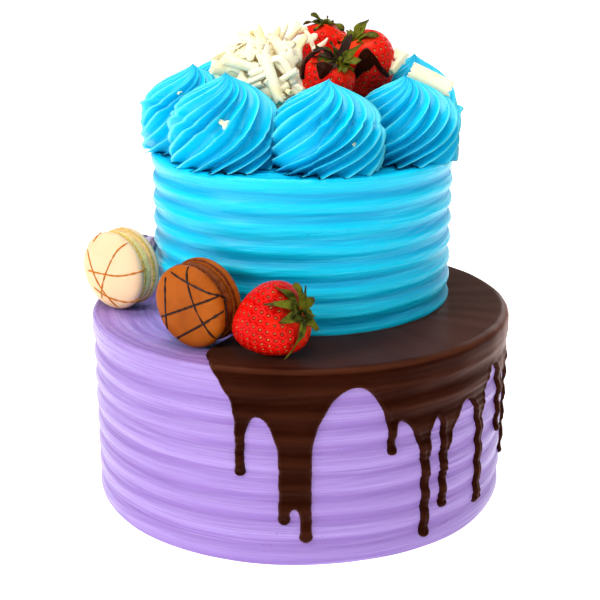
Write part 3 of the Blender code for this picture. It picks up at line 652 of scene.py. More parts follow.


# Painted light: darker grooves as shade, and pale crest lips as a highlight, by an edge of 0.8
piped_blue = buttercream("piped_blue_buttercream", (0.0, 0.61, 0.86), (0.0, 0.37, 0.67),
                         (0.12, 0.80, 0.94), 0.2, 0.8)
for index in range(len(ROSETTES)):
    swirl_points, swirl_crest, swirl_drag = rosette_grid(index)
    rosette = add_piece(f"piped_rosette_{index + 1}", *closed_tube(swirl_points), piped_blue,
                        crest=ended(swirl_crest), drag=ended(swirl_drag))
    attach(rosette, "root")
    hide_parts(f"rosette_{index + 1}")

# White chocolate curls
# Shavings pulled off a block of white chocolate with a blade: rolled tubes, bent flakes and pointed
# shards with torn ends, heaped inside the ring of rosettes. Three large rolls lie clear of the heap.

# Name, two ends and radius in mm, turns of the spiral, and how far it is rolled round
ROLLS = (
    ("roll_upright", (-16.7, -4.0, 224.1), (-9.5, -14.0, 202.6), 3.3, 1.3, -0.9),
    ("roll_flat", (-43.0, 3.0, 217.5), (-19.0, 4.0, 214.0), 4.4, 0.8, -0.9),
    ("roll_right", (54.8, 1.5, 215.5), (74.3, -1.5, 206.5), 5.6, 0.62, -0.7),
)
MOUND = (-21.0 * MM, 19.0 * MM)
MOUND_CURLS, RING_CURLS = 72, 40
GOLDEN = math.pi * (3 - math.sqrt(5))
# The heap's two cores under the loose pieces: the middle, then the radius and level of each ring in mm
CORES = (
    (UPPER["centre"], ((22, 0), (31, 12), (29, 25), (20, 28), (8, 29))),
    (MOUND, ((19, 14), (21, 33), (17, 44), (9, 50), (3, 52))),
)
# The heap's pieces that show most, in mm: half width, then places from the thin tip to the foot
SPIKES = (
    (3.2, (-19.7, 6.0, 238.6), (-19.2, 4.5, 234.0), (-17.7, 2.0, 228.0)),
    (2.4, (-31.6, 7.0, 234.8), (-26.0, 4.0, 231.6), (-18.2, 0.0, 226.5)),
    (2.4, (-28.7, 8.0, 236.0), (-24.5, 5.0, 232.0), (-17.3, 4.0, 227.0)),
    (1.6, (-5.4, 14.0, 238.5), (-6.6, 12.0, 235.8), (-9.5, 9.0, 230.0)),
    (2.4, (-9.4, 8.0, 237.2), (-10.6, 6.0, 234.5), (-13.0, 3.0, 229.0)),
    (2.6, (-35.5, 4.0, 227.5), (-34.0, 2.0, 224.0), (-30.0, 0.0, 219.0)),
    (2.8, (-15.1, -4.0, 230.5), (-15.8, -4.5, 226.5), (-17.5, -5.0, 220.0)),
    (2.0, (1.5, 22.0, 235.6), (-2.0, 20.0, 232.6), (-6.0, 16.0, 229.0)),
    (1.8, (14.5, 20.0, 229.9), (12.0, 19.0, 227.0), (7.0, 16.0, 224.0)),
)
# Half width and two ends, in mm
TUBES = (
    (3.4, (-37.0, 1.0, 221.6), (-19.0, -3.0, 217.6)),
    (1.7, (-9.5, -7.0, 212.4), (-0.8, -10.0, 218.0)),
    (2.0, (-7.4, -4.0, 213.6), (2.4, -8.0, 207.9)),
    (1.7, (-8.4, -6.0, 208.6), (-4.0, -12.0, 207.4)),
    (1.6, (-25.0, -7.0, 211.6), (-15.1, -8.0, 216.5)),
    (2.2, (-24.0, -4.0, 215.0), (-13.5, -6.5, 219.5)),
    (2.6, (-12.0, -3.0, 222.0), (-4.0, -5.0, 214.0)),
    (2.4, (46.0, 12.0, 214.0), (53.5, 16.0, 223.0)),
    (2.2, (-10.0, -9.0, 207.5), (-16.0, -9.5, 213.5)),
    (1.8, (-2.0, -11.0, 205.0), (3.5, -9.0, 203.0)),
    (2.0, (-5.0, -9.0, 211.0), (-12.5, -9.0, 206.0)),
    (1.6, (-13.0, -11.0, 202.0), (-7.0, -13.0, 206.0)),
    (1.8, (-27.0, -6.0, 208.0), (-18.0, -8.0, 211.5)),
)
# Size and middle in mm, and the way it faces
FLAKES = (
    (8.0, (-9.0, 0.0, 228.0), (0.1, -1.0, 0.5)),
    (9.0, (-1.0, 2.0, 227.6), (0.3, -1.0, 0.4)),
    (7.5, (-24.0, -2.0, 225.4), (-0.2, -1.0, 0.5)),
    (6.5, (-33.0, 0.0, 218.7), (-0.3, -1.0, 0.2)),
    (6.0, (5.5, 18.0, 229.6), (0.2, -1.0, 0.5)),
    (5.0, (-1.0, 24.0, 233.0), (0.0, -1.0, 0.4)),
    (6.0, (-4.5, -3.0, 221.0), (0.3, -1.0, 0.3)),
    (5.5, (-18.0, -4.0, 222.5), (-0.3, -1.0, 0.2)),
    (6.0, (50.0, 18.0, 221.0), (0.3, -0.8, 0.6)),
    (5.0, (45.5, 14.0, 217.7), (0.0, -1.0, 0.5)),
    (6.0, (48.0, 26.0, 219.5), (0.5, 0.2, 1.0)),
    (6.0, (-8.0, -7.0, 212.0), (0.0, -1.0, 0.6)),
    (6.0, (-1.0, -8.0, 208.0), (0.3, -1.0, 0.7)),
    (6.5, (-14.0, -8.0, 208.5), (-0.2, -1.0, 0.7)),
    (6.5, (-22.0, -6.0, 211.0), (-0.3, -1.0, 0.6)),
    (6.0, (-28.0, -3.0, 213.5), (-0.4, -1.0, 0.6)),
    (6.0, (0.5, -4.0, 213.0), (0.2, -1.0, 0.6)),
)
# A band that stands as an arch, by places along it in mm
ARCH_CURL = ((-15.6, -4.0, 218.5), (-14.6, -5.2, 221.0), (-12.4, -5.8, 223.0), (-9.4, -6.2, 223.2),
             (-6.6, -6.6, 220.6), (-4.0, -7.2, 216.0), (-2.4, -7.4, 211.0))


def frame_along(way, roll):
    """Two directions square to a way, turned about it by an angle."""
    way = way / np.linalg.norm(way)
    side = np.cross(way, (0.0, 0.0, 1.0) if abs(way[2]) < 0.9 else (1.0, 0.0, 0.0))
    side /= np.linalg.norm(side)
    up = np.cross(way, side)
    return math.cos(roll) * side + math.sin(roll) * up, math.cos(roll) * up - math.sin(roll) * side


def shaving(start, end, radius, turns, draw, wall, taper=0.0, rows=8, sides=10, torn=0.045, roll=None):
    """A curl: a strip bent to an arc or a spiral, carried from start to end, thin-edged, its ends torn."""
    across, up = frame_along(end - start, draw.uniform(0, 2 * np.pi) if roll is None else roll)
    share = np.linspace(0, 1, sides + 1)
    share = np.concatenate([share, share[::-1]])
    inner = np.repeat([0.0, 1.0], sides + 1)
    torn = [draw.uniform(-torn, torn, sides + 1) for _ in range(2)]
    torn = [np.concatenate([edge, edge[::-1]]) for edge in torn]
    along = np.linspace(0, 1, rows)[:, None]
    along = along + (1 - along) * torn[0] + along * torn[1]
    narrow = 1 - taper * np.clip(along, 0, 1) ** 1.4
    angle = 2 * np.pi * turns * ((share - 0.5) * narrow + 0.5)
    thin = wall * (0.35 + 0.65 * np.sqrt(np.clip(1 - (2 * share - 1) ** 4, 0, 1)))
    spiral = radius * (1 - 0.3 * share * min(turns, 1.0)) * (1 - 0.25 * taper * along)
    out = spiral - inner * thin
    mid_angle = np.pi * turns
    x = out * np.cos(angle - mid_angle)
    y = out * np.sin(angle - mid_angle)
    path = start + along[..., None] * (end - start)
    points = path + x[..., None] * across + y[..., None] * up
    count = 2 * (sides + 1)
    column = np.arange(sides)
    cap = np.stack([column, column + 1, count - 2 - column, count - 1 - column], -1)
    last = (rows - 1) * count
    return points.reshape(-1, 3), [sheet_faces(rows, count), cap[:, ::-1], cap + last]


def flake(middle, size, bend, draw, facing, thick=1.1 * MM, columns=26, rows=4):
    """A chip: a flat star of 3 to 5 pointed arms, cos^9 of the angle, bent round a rod, with a round rim."""
    corners = int(draw.integers(3, 6))
    angle = np.linspace(0, 2 * np.pi, columns, endpoint=False)[None, :]
    tips = 2 * np.pi * (np.arange(corners) + draw.uniform(-0.25, 0.25, corners)) / corners
    point = np.maximum(np.cos(angle[..., None] - tips), 0) ** 9 * draw.uniform(0.45, 0.9, corners)
    reach = size * (0.44 + point.sum(-1))
    fan = np.linspace(0.3, 1, rows)
    fan = np.concatenate([fan, fan[::-1][1:]])[:, None]
    lift = np.concatenate([np.ones(rows - 1), [0], -np.ones(rows - 1)])[:, None]
    x = fan * reach * np.cos(angle)
    y = fan * reach * np.sin(angle) * draw.uniform(0.6, 1.0)
    z = thick / 2 * lift * np.sqrt(1 - (fan * 0.98) ** 4)
    curved = np.stack([(bend + z) * np.sin(x / bend), y, (bend + z) * np.cos(x / bend) - bend], -1)
    side, up = frame_along(np.array(facing, float), draw.uniform(0, 2 * np.pi))
    spots, blocks = closed_tube(curved)
    return middle + spots @ np.stack([side, up, facing / np.linalg.norm(facing)]), blocks


def bar(path, half_width, half_height, sides=10, up=(0.0, 0.0, 1.0)):
    """A rounded bar: an ellipse carried square to a path, with a half width and height at each place."""
    path = np.asarray(path, float)
    way = np.gradient(path, axis=0)
    way /= np.linalg.norm(way, axis=1, keepdims=True)
    side = np.cross(way, up)
    side /= np.maximum(np.linalg.norm(side, axis=1, keepdims=True), 1e-9)
    top = np.cross(side, way)
    ring = np.linspace(0, 2 * np.pi, sides, endpoint=False)
    wide = (np.broadcast_to(half_width, len(path))[:, None] * np.cos(ring))[..., None]
    high = (np.broadcast_to(half_height, len(path))[:, None] * np.sin(ring))[..., None]
    return closed_tube(path[:, None] + wide * side[:, None] + high * top[:, None])


def gathered(parts):
    """Many shapes as one: their points and faces, each shape's faces counted on from the last."""
    points, blocks, first = [], {}, 0
    for spots, faces in parts:
        points.append(spots)
        for block in faces:
            blocks.setdefault(block.shape[1], []).append(block + first)
        first += len(spots)
    return np.vstack(points), [np.vstack(group) for group in blocks.values()]


def white_chocolate(name):
    """White chocolate: creamy, satin, warmer in random clouds, with the blade's fine lines."""
    finish = Finish(name, {"Subsurface Weight": 0.3, "Subsurface Scale": 0.003,
                           "Subsurface Radius": (1.0, 0.75, 0.4), "Specular IOR Level": 0.12})
    cloud = finish.noise(finish.place(), 70.0, 3)
    line = finish.noise(finish.place((900, 900, 300)), 1.0, 3)
    colour = finish.mixed((0.95, 0.78, 0.43), (0.97, 0.88, 0.64), cloud.eased(0.3, 0.6))
    finish.give(Base_Color=colour, Roughness=0.36 + 0.2 * cloud)
    finish.bumped(line * 0.6 + cloud, 0.1 * MM, 0.5)
    return finish


white = white_chocolate("white_chocolate_shavings")
curls_draw = np.random.default_rng(12)
curls = []
core_angle = np.linspace(0, 2 * np.pi, 60, endpoint=False)[None, :]
for (x, y), rows in CORES:
    ring = np.array(rows, float) * MM
    share = np.linspace(0, len(ring) - 1, 22)
    core_radius = np.interp(share, np.arange(len(ring)), ring[:, 0])[:, None]
    core_level = np.interp(share, np.arange(len(ring)), ring[:, 1])[:, None]
    core_x, core_y = core_radius * np.cos(core_angle), core_radius * np.sin(core_angle)
    lump = 1 + 0.06 * waves(7, 0.012, core_x, core_y, core_level)
    core_rise = UPPER_TOP + 0.3 * MM + core_level + 0 * core_x
    curls.append(closed_tube(np.stack([x + core_x * lump, y + core_y * lump, core_rise], -1)))
for i in range(MOUND_CURLS):
    turn = GOLDEN * i
    rise = math.radians(-4 + 88 * (i / MOUND_CURLS) ** 0.8)
    way = np.array([math.cos(turn) * math.cos(rise), math.sin(turn) * math.cos(rise), math.sin(rise)])
    root = np.array([*MOUND, UPPER_TOP + 32 * MM]) + way * curls_draw.uniform(18, 22) * MM
    lean = np.cross(way, curls_draw.normal(size=3))
    lean = lean / np.linalg.norm(lean) + way * curls_draw.uniform(-0.1, 0.7)
    facing = way + 0.5 * curls_draw.normal(size=3)
    if i % 3 == 0:
        reach = lean * curls_draw.uniform(4, 7) * MM
        radius, turns = curls_draw.uniform(1.6, 3.0) * MM, curls_draw.uniform(0.7, 1.2)
        taper = curls_draw.uniform(0, 0.7)
        curls.append(shaving(root - reach, root + reach, radius, turns, curls_draw, 1.0 * MM, taper))
    else:
        size, bend = curls_draw.uniform(7.0, 10.5) * MM, curls_draw.uniform(5, 12) * MM
        curls.append(flake(root, size, bend, curls_draw, facing, curls_draw.uniform(1.2, 2.0) * MM))
for i in range(RING_CURLS):
    turn = GOLDEN * i
    out = (6 + 26 * math.sqrt(i / RING_CURLS)) * MM
    x, y = UPPER["centre"]
    level = UPPER_TOP + (33 - 9 * out / (32 * MM)) * MM
    root = np.array([x + out * math.cos(turn), y + out * math.sin(turn), level])
    facing = np.array([0.4 * math.cos(turn), 0.4 * math.sin(turn), 1.0]) + 0.35 * curls_draw.normal(size=3)
    size, bend = curls_draw.uniform(4, 7) * MM, curls_draw.uniform(6, 12) * MM
    curls.append(flake(root, size, bend, curls_draw, facing))
for half_width, *knots in SPIKES:
    path = through(np.array(knots) * MM, 12)
    share = np.linspace(0, 1, 12)
    wide = half_width * MM * (0.16 + 0.84 * share ** 0.7)
    curls.append(bar(path, wide, 0.55 * wide, up=(0.3, -1.0, 0.2)))
for size, middle, facing in FLAKES:
    middle, bend = np.array(middle) * MM, 1.5 * size * MM
    curls.append(flake(middle, size * MM, bend, curls_draw, np.array(facing), 1.5 * MM, 36, 5))
for half_width, start, end in TUBES:
    start, end = np.array(start) * MM, np.array(end) * MM
    curls.append(shaving(start, end, half_width * MM, 1.1, curls_draw, 0.9 * MM, rows=10, sides=14))
band = through(np.array(ARCH_CURL) * MM, 18)
curls.append(bar(band, 2.0 * MM, 0.8 * MM, 12, up=(-0.2, -0.6, 0.8)))
heap_points, heap_blocks = gathered(curls)
heap = add_piece("heaped_curls", heap_points, heap_blocks, white)
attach(heap, "root")
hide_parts("curl_heap")
for name, start, end, radius, turns, roll in ROLLS:
    start, end = np.array(start) * MM, np.array(end) * MM
    rolled = shaving(start, end, radius * MM, turns, curls_draw, 1.2 * MM, rows=16, sides=30,
                     torn=0.03, roll=roll)
    curl = add_piece("large_" + name, *rolled, white)
    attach(curl, "root")
    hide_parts(name)

# White chips
# Crumbs of the same white chocolate, small flat stars, that fell while the curls were heaped and
# stuck to the soft rosettes.

# Size and middle in mm, and the way it faces
CHIPS = (
    (3.0, (-34.8, -43.4, 198.2), (-0.1, -1.0, 0.5)),
    (1.5, (-59.3, -0.3, 205.7), (-0.3, -0.9, 0.6)),
    (1.9, (25.9, -52.1, 190.0), (0.5, -0.85, 0.6)),
)
chip_parts = [flake(np.array(middle) * MM, size * MM, 3 * size * MM, curls_draw, np.array(facing), 0.9 * MM)
              for size, middle, facing in CHIPS]
chips = add_piece("white_chips", *gathered(chip_parts), white)
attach(chips, "root")

# Strawberries
# Ripe whole fruit laid on the cake: a red glossy flesh dimpled round its seeds, paler at the
# shoulder, with its green leaves and stalk left on. The two in front on top were dipped in part.

# Middle, direction from tip to stem, radius and length in mm
STRAWBERRIES = (
    ("ledge_strawberry", (-14.0, -84.8, 114.3), (0.80, -0.42, 0.42), 17.0, 38.0),
    ("front_strawberry", (11.8, 2.0, 209.6), (0.50, -0.36, 0.79), 13.8, 31.0),
    ("right_strawberry", (34.2, 23.2, 214.8), (-0.38, -0.42, 0.82), 16.0, 36.0),
    ("back_strawberry", (12.2, 44.0, 219.0), (0.10, -0.10, 0.99), 13.0, 31.0),
)
# Places along a berry from its tip to its stem and the reach from its axis there, as shares
BERRY_KNOTS = ((0.0, 0.0), (0.04, 0.26), (0.20, 0.62), (0.45, 0.92),
               (0.68, 1.0), (0.86, 0.86), (0.96, 0.50), (1.0, 0.0))
# Seeds on a berry of the largest size; the others have fewer, by their size
SEED_COUNT = 235
SEED_SIZE = np.array([0.42, 0.75, 0.3]) * MM
SEED_SINK = 0.42 * MM
DIMPLE_DEPTH, DIMPLE_WIDTH = 0.75, 0.95 * MM
RIM_HEIGHT, RIM_PLACE, RIM_WIDTH = 0.16, 1.45 * MM, 0.45 * MM
# Leaves of each berry: the tip's offset from the stem's foot, the width, and how much chocolate coats it
LEAVES = {
    "ledge_strawberry": (
        (-15.7, -9.5, 6.2, 5.4, 0), (-10.7, -1.5, 11.8, 5.0, 0), (-2.6, 5.0, 11.7, 5.2, 0),
        (2.9, 9.0, 9.5, 5.6, 0), (6.5, 5.0, 5.2, 5.4, 0), (7.6, 2.0, -3.0, 5.0, 0),
        (8.4, 0.5, -9.4, 6.0, 0), (-8.9, -11.5, -1.8, 6.2, 0), (0.1, -5.0, -6.0, 4.8, 0),
        (-3.5, -8.0, -3.0, 5.4, 0), (-6.6, -10.0, -19.5, 3.2, 0), (0.5, 11.0, 3.0, 5.6, 0)),
    "front_strawberry": (
        (6.8, 3.6, 13.6, 5.2, 0.75), (11.5, 3.0, 8.5, 5.0, 0), (11.5, -1.0, 1.5, 5.2, 0),
        (8.0, -3.0, -4.6, 5.0, 0), (-1.0, -7.4, -4.6, 4.0, 0), (-9.0, -8.5, -6.5, 5.0, 1),
        (-12.8, -5.1, -0.3, 4.2, 0.4), (-14.7, -3.3, 2.2, 4.0, 0.6), (-12.2, 1.4, 5.8, 4.0, 0.7),
        (-11.0, 3.8, 7.4, 3.6, 0), (-4.2, 5.2, 9.7, 3.8, 0), (3.4, -6.6, -4.5, 3.6, 0)),
    "right_strawberry": (
        (7.2, 3.6, 10.6, 5.2, 0), (4.3, 4.4, 7.5, 3.6, 0), (11.9, -2.4, 3.1, 5.4, 0.3),
        (9.4, -4.9, -3.5, 4.0, 0), (-2.1, 8.6, 4.5, 4.0, 0), (-8.0, 6.0, -2.0, 4.4, 0),
        (2.0, 11.0, -1.0, 4.4, 0), (9.0, 7.0, -1.0, 4.4, 0)),
    "back_strawberry": (
        (-7.5, 3.9, 5.6, 4.4, 0), (-11.7, 1.3, 0.5, 3.6, 0), (1.1, -1.0, 5.2, 3.0, 0),
        (9.4, -3.3, -2.3, 4.0, 0), (-5.0, 9.0, -1.0, 4.2, 0), (4.0, 10.0, -1.0, 4.2, 0),
        (-6.0, -8.0, -1.5, 3.4, 0)),
}
# Patches of chocolate on the berries: the berry, then its outline as turns from the tip and angles
DIPS = (
    ("front_strawberry", (
        (2.4, 5.87), (2.63, 5.98), (2.78, 6.54), (2.55, 6.64), (2.31, 6.6), (2.13, 6.51),
        (2.24, 6.29))),
    ("front_strawberry", (
        (1.88, 5.14), (2.0, 5.55), (1.87, 5.79), (1.66, 5.95), (1.54, 5.74), (1.64, 5.26))),
    ("front_strawberry", (
        (1.67, 5.3), (1.92, 5.12), (2.14, 5.0), (2.31, 4.81), (2.41, 4.6), (2.46, 5.12),
        (2.28, 5.46), (1.97, 5.57))),
    ("right_strawberry", (
        (2.03, 1.87), (2.32, 2.11), (2.61, 2.41), (2.66, 2.84), (2.45, 2.87), (2.17, 2.75),
        (2.06, 2.58), (2.03, 2.26), (1.9, 1.96))),
    ("right_strawberry", (
        (2.6, 2.85), (2.3, 2.86), (2.05, 2.84), (1.75, 2.9), (1.43, 3.05), (1.4, 2.97),
        (1.72, 2.78), (2.05, 2.7), (2.4, 2.72))),
)


def berry_reach(turn):
    """A berry's reach from its axis, by the turn from its tip (0) to its stem (pi)."""
    along, reach = np.array(BERRY_KNOTS).T
    knots = np.arccos(1 - 2 * along)
    slope = np.gradient(reach, knots)
    k = np.clip(np.searchsorted(knots, turn) - 1, 0, len(knots) - 2)
    step = knots[k + 1] - knots[k]
    t = np.clip((turn - knots[k]) / step, 0, 1)
    return ((2 * t ** 3 - 3 * t ** 2 + 1) * reach[k] + (t ** 3 - 2 * t ** 2 + t) * step * slope[k]
            + (3 * t ** 2 - 2 * t ** 3) * reach[k + 1] + (t ** 3 - t ** 2) * step * slope[k + 1])


def berry_local(turn, angle, radius, length, seed):
    """A place on the berry's skin in its own frame, tip down, with gentle lobes."""
    lobes = 1 + 0.025 * waves(seed, 2.2, np.cos(angle), np.sin(angle), turn)
    reach = radius * berry_reach(turn) * lobes
    along = -0.5 * length * np.cos(turn) + 0 * reach
    return np.stack([reach * np.cos(angle), reach * np.sin(angle), along], -1)


def berry_axes(direction):
    """The berry's own three directions: its axis points from tip to stem."""
    axis = np.array(direction) / np.linalg.norm(direction)
    return np.stack([*frame_along(axis, 0.0), axis])


def seed_spots(count):
    """Seeds in a spiral from tip to shoulder, evenly by area, as (turn, angle)."""
    turn = np.linspace(0.22, 2.62, 400)
    area = np.cumsum(np.maximum(berry_reach(turn), 0.05))
    spots = np.interp((np.arange(count) + 0.5) / count, area / area[-1], turn)
    return spots, (np.arange(count) * GOLDEN) % (2 * np.pi)


def berry_flesh(name):
    """Glossy red, orange near the stem, with painted light: brighter on top of the cake, shaded dark in its
    dimples, highlit pale on their rims.
    """
    finish = Finish(name, {"Subsurface Weight": 0.1, "Subsurface Scale": 0.002,
                           "Subsurface Radius": (1.0, 0.2, 0.1), "Specular IOR Level": 0.06,
                           "Specular Tint": (1.0, 0.6, 0.6, 1.0)})
    shoulder = finish.field("shoulder")
    # Painted light: berries high up, on top of the cake, are painted brighter
    high = finish.node("SeparateXYZ", sockets={"Vector": finish.place()}, out="Z").eased(0.15, 0.20)
    dimple = finish.field("dimple")
    cloud = finish.noise(finish.place(), 90.0, 3)
    colour = finish.mixed((0.40, 0.0, 0.0), (0.62, 0.001, 0.0), cloud.eased(0.35, 0.65))
    colour = finish.mixed(colour, (0.84, 0.010, 0.003), high * 0.55)
    colour = finish.mixed(colour, (0.80, 0.10, 0.02), (shoulder + cloud * 0.6).eased(1.0, 1.5))
    # Painted highlight: the raised rims round the dimples are paler
    colour = finish.mixed(colour, (0.80, 0.02, 0.012), finish.field("rim").eased(0.3, 1.0) * 0.6)
    # Painted shade: the dimples round the seeds are darker
    colour = finish.mixed(colour, (0.25, 0.002, 0.003), dimple.eased(0.3, 0.9))
    finish.give(Base_Color=colour, Roughness=0.2 + 0.2 * cloud)
    finish.bumped(finish.noise(finish.place(), 420.0, 2), 0.12 * MM, 0.5)
    return finish


def berry_seed(name):
    """Dry seeds, from golden to brown."""
    finish = Finish(name, {"Roughness": 0.35})
    shade = finish.noise(finish.place(), 300.0).eased(0.4, 0.6)
    finish.give(Base_Color=finish.mixed((0.24, 0.05, 0.006), (0.55, 0.22, 0.035), shade))
    return finish


def berry_leaf(name):
    """Matt green, mottled, dry and brown at its tips, nearly black where it was dipped in chocolate."""
    finish = Finish(name, {"Roughness": 0.45, "Specular IOR Level": 0.08})
    cloud = finish.noise(finish.place(), 160.0, 4)
    colour = finish.mixed((0.022, 0.026, 0.001), (0.13, 0.135, 0.005), cloud.eased(0.38, 0.62))
    colour = finish.mixed(colour, (0.07, 0.035, 0.010), finish.field("tip").eased(0.7, 1.1) * 0.7)
    dipped = (finish.field("dipped") + cloud * 0.8).eased(0.75, 1.0)
    colour = finish.mixed(colour, (0.030, 0.013, 0.009), dipped)
    finish.give(Base_Color=colour)
    finish.bumped(cloud, 0.3 * MM)
    return finish


flesh = berry_flesh("strawberry_skin")
seed_finish = berry_seed("strawberry_seed")
leaf_finish = berry_leaf("strawberry_leaf_green")


def seed_shape():
    """A small pointed drop, long along y, as a closed tube of rings along y."""
    along = np.linspace(-1, 1, 5)[1:-1, None]
    around = np.linspace(0, 2 * np.pi, 6, endpoint=False)[None, :]
    size = np.sqrt(1 - along ** 2) * (1 - 0.35 * along)
    points = np.stack([size * np.cos(around), along + 0 * around, size * np.sin(around)], -1)
    spots, blocks = closed_tube(points)
    spots[-2:, 1] = (-1, 1)
    return spots, blocks


def leaf_blade(root, tip, axis, width, seed, rows=14, sides=7):
    """A leaf: a folded, wavy strip along a bent rib from the stem to its tip, pointed, as a thin solid."""
    draw = np.random.default_rng(seed)
    along = np.linspace(0, 1, rows)[:, None]
    level = tip - axis * (tip @ axis)
    knee = 0.5 * level + axis * (0.30 * np.linalg.norm(level) * draw.uniform(0.6, 1.3))
    rib = root + 2 * along * (1 - along) * knee + along ** 2 * tip
    way = np.gradient(rib, axis=0)
    way /= np.linalg.norm(way, axis=1, keepdims=True)
    across = np.cross(axis, way)
    across /= np.linalg.norm(across, axis=1, keepdims=True)
    up = np.cross(way, across)
    half = width / 2 * np.sin(np.pi * (0.16 + 0.84 * along) ** 1.1) ** 0.75 + 0.10 * MM
    v = np.linspace(-1, 1, sides)
    v = np.concatenate([v, v[::-1]])[None, :]
    under = np.repeat([0.0, 1.0], sides)[None, :]
    notch = 1 - 0.14 * np.abs(np.sin(along * 3.5 * np.pi + draw.uniform(0, 3))) * (np.abs(v) > 0.9)
    fold = draw.uniform(0.1, 0.4) * half * np.abs(v) ** 1.3
    wavy = 0.9 * MM * np.sin(2 * np.pi * (1.3 * along + draw.uniform())) * v * np.abs(v)
    twist = draw.uniform(-0.5, 0.5) * along * v * half
    height = fold + wavy + twist - under * 0.45 * MM * (1 - 0.75 * v ** 4)
    points = rib[:, None] + (v * half * notch)[..., None] * across[:, None] + height[..., None] * up[:, None]
    return closed_tube(points), np.concatenate([np.broadcast_to(along, height.shape).ravel(), [0, 1]])


def add_berry(name, middle, direction, radius, length, number):
    """One strawberry: its dimpled flesh, its seeds, and its leaves with the stalk."""
    middle, radius, length = np.array(middle) * MM, radius * MM, length * MM
    axes = berry_axes(direction)
    turn = np.linspace(0, np.pi, 150)[1:-1, None]
    angle = np.linspace(0, 2 * np.pi, 200, endpoint=False)[None, :]
    count = int(SEED_COUNT * radius * length / (17 * 38 * MM * MM))
    seed_turn, seed_angle = seed_spots(count)
    skin = berry_local(turn, angle, radius, length, number)
    seeds = berry_local(seed_turn, seed_angle, radius, length, number)
    gap = np.full(skin.shape[:2], 1.0)
    for spot in seeds:
        gap = np.minimum(gap, np.linalg.norm(skin - spot, axis=2))
    dimple = np.exp(-(gap / DIMPLE_WIDTH) ** 2)
    ridge = np.exp(-((gap - RIM_PLACE) / RIM_WIDTH) ** 2)
    inward = skin / np.maximum(np.linalg.norm(skin, axis=2, keepdims=True), 1e-9)
    skin = skin - inward * ((DIMPLE_DEPTH * dimple - RIM_HEIGHT * ridge) * MM)[..., None]
    points = middle + skin @ axes
    shoulder = turn / np.pi + 0 * angle
    # The dimple and rim fields paint shade in the dimples and a highlight on their rims
    flesh_piece = add_piece(name + "_flesh", *closed_tube(points), flesh, dimple=ended(dimple),
                            rim=ended(ridge), shoulder=ended(shoulder))
    step = 0.02
    tangent = berry_local(seed_turn + step, seed_angle, radius, length, number) - seeds
    tangent /= np.linalg.norm(tangent, axis=1, keepdims=True)
    side = berry_local(seed_turn, seed_angle + step, radius, length, number) - seeds
    side /= np.linalg.norm(side, axis=1, keepdims=True)
    normal = np.cross(side, tangent)
    normal *= np.sign((normal * seeds).sum(1, keepdims=True))
    drop, drop_blocks = seed_shape()
    drop = drop * SEED_SIZE
    local = (drop[None, :, :1] * side[:, None] + drop[None, :, 1:2] * tangent[:, None]
             + drop[None, :, 2:] * normal[:, None])
    spots = middle + (seeds[:, None] - SEED_SINK * normal[:, None] + local) @ axes
    first = np.arange(count)[:, None, None] * len(drop)
    seed_blocks = [(block[None] + first).reshape(-1, block.shape[1]) for block in drop_blocks]
    seed_piece = add_piece(name + "_seeds", spots, seed_blocks, seed_finish)
    stem = middle + axes[2] * (0.46 * length + 0.2 * MM)
    parts, tips, coats = [], [], []
    for k, (*tip, width, dipped) in enumerate(LEAVES[name]):
        blade, along = leaf_blade(stem, np.array(tip) * MM, axes[2], width * MM, 300 + 20 * number + k)
        parts.append(blade)
        tips.append(along)
        coats.append(np.full(len(along), float(dipped)))
    rise = np.linspace(0, 1, 6)[:, None]
    ring = np.linspace(0, 2 * np.pi, 10, endpoint=False)[None, :]
    thick = 1.0 * MM * (1.3 - 0.5 * rise + 0.2 * rise ** 4)
    stalk = (stem + (thick * np.cos(ring))[..., None] * axes[0] + (thick * np.sin(ring))[..., None] * axes[1]
             + (3.4 * MM * rise + 0 * ring)[..., None] * axes[2])
    parts.append(closed_tube(stalk))
    tips.append(np.full(len(parts[-1][0]), 0.4))
    coats.append(np.zeros(len(parts[-1][0])))
    leaf_points, leaf_blocks = gathered(parts)
    leaves = add_piece(name + "_calyx", leaf_points, leaf_blocks, leaf_finish, tip=np.concatenate(tips),
                       dipped=np.concatenate(coats))
    return flesh_piece, seed_piece, leaves


def dip_patch(sizes, outline, number):
    """A patch of chocolate on a berry: rings from its middle to its outline, thick as sqrt(1 - r^4)."""
    middle, direction, radius, length = sizes
    middle, radius, length = np.array(middle) * MM, radius * MM, length * MM
    edge = through(outline + outline[:1], 49)[:-1]
    fan = np.concatenate([np.linspace(0.1, 1, 9), np.linspace(1, 0.1, 9)[1:]])[:, None]
    under = np.repeat([0.0, 1.0], (9, 8))[:, None]
    place = edge.mean(0) + fan[..., None] * (edge[None] - edge.mean(0))
    skin = berry_local(place[..., 0], place[..., 1], radius, length, number)
    outward = skin / np.linalg.norm(skin, axis=2, keepdims=True)
    ripple = 1 + 0.35 * waves(500 + number, 4 * MM, *np.moveaxis(skin, 2, 0))
    lift = np.where(under > 0, -0.5, 0.25 + 0.9 * ripple * np.sqrt(1 - (0.995 * fan) ** 4)) * MM
    return closed_tube(middle + (skin + lift[..., None] * outward) @ berry_axes(direction))


for number, (name, *sizes) in enumerate(STRAWBERRIES):
    flesh_piece, seed_piece, leaves = add_berry(name, *sizes, number)
    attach(flesh_piece, "root")
    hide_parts(name)
    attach(seed_piece, "root")
    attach(leaves, "root")
    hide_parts(name + "_leaves")

berry_sizes = {name: sizes for name, *sizes in STRAWBERRIES}
berry_order = list(berry_sizes)
dip_points, dip_blocks = gathered([dip_patch(berry_sizes[name], outline, berry_order.index(name))
                                   for name, outline in DIPS])
dip_finish = dark_chocolate("dipped_chocolate")
dips = add_piece("chocolate_dips", dip_points, dip_blocks, dip_finish,
                 drag=dip_points * 600, ridge=0 * dip_points[:, 0])
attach(dips, "root")

# Macarons
# Almond meringue shells baked in pairs, with a smooth dome and a frilled foot, and a soft filling
# between them. They stand on edge on the ledge, drizzled with caramel or dark chocolate.

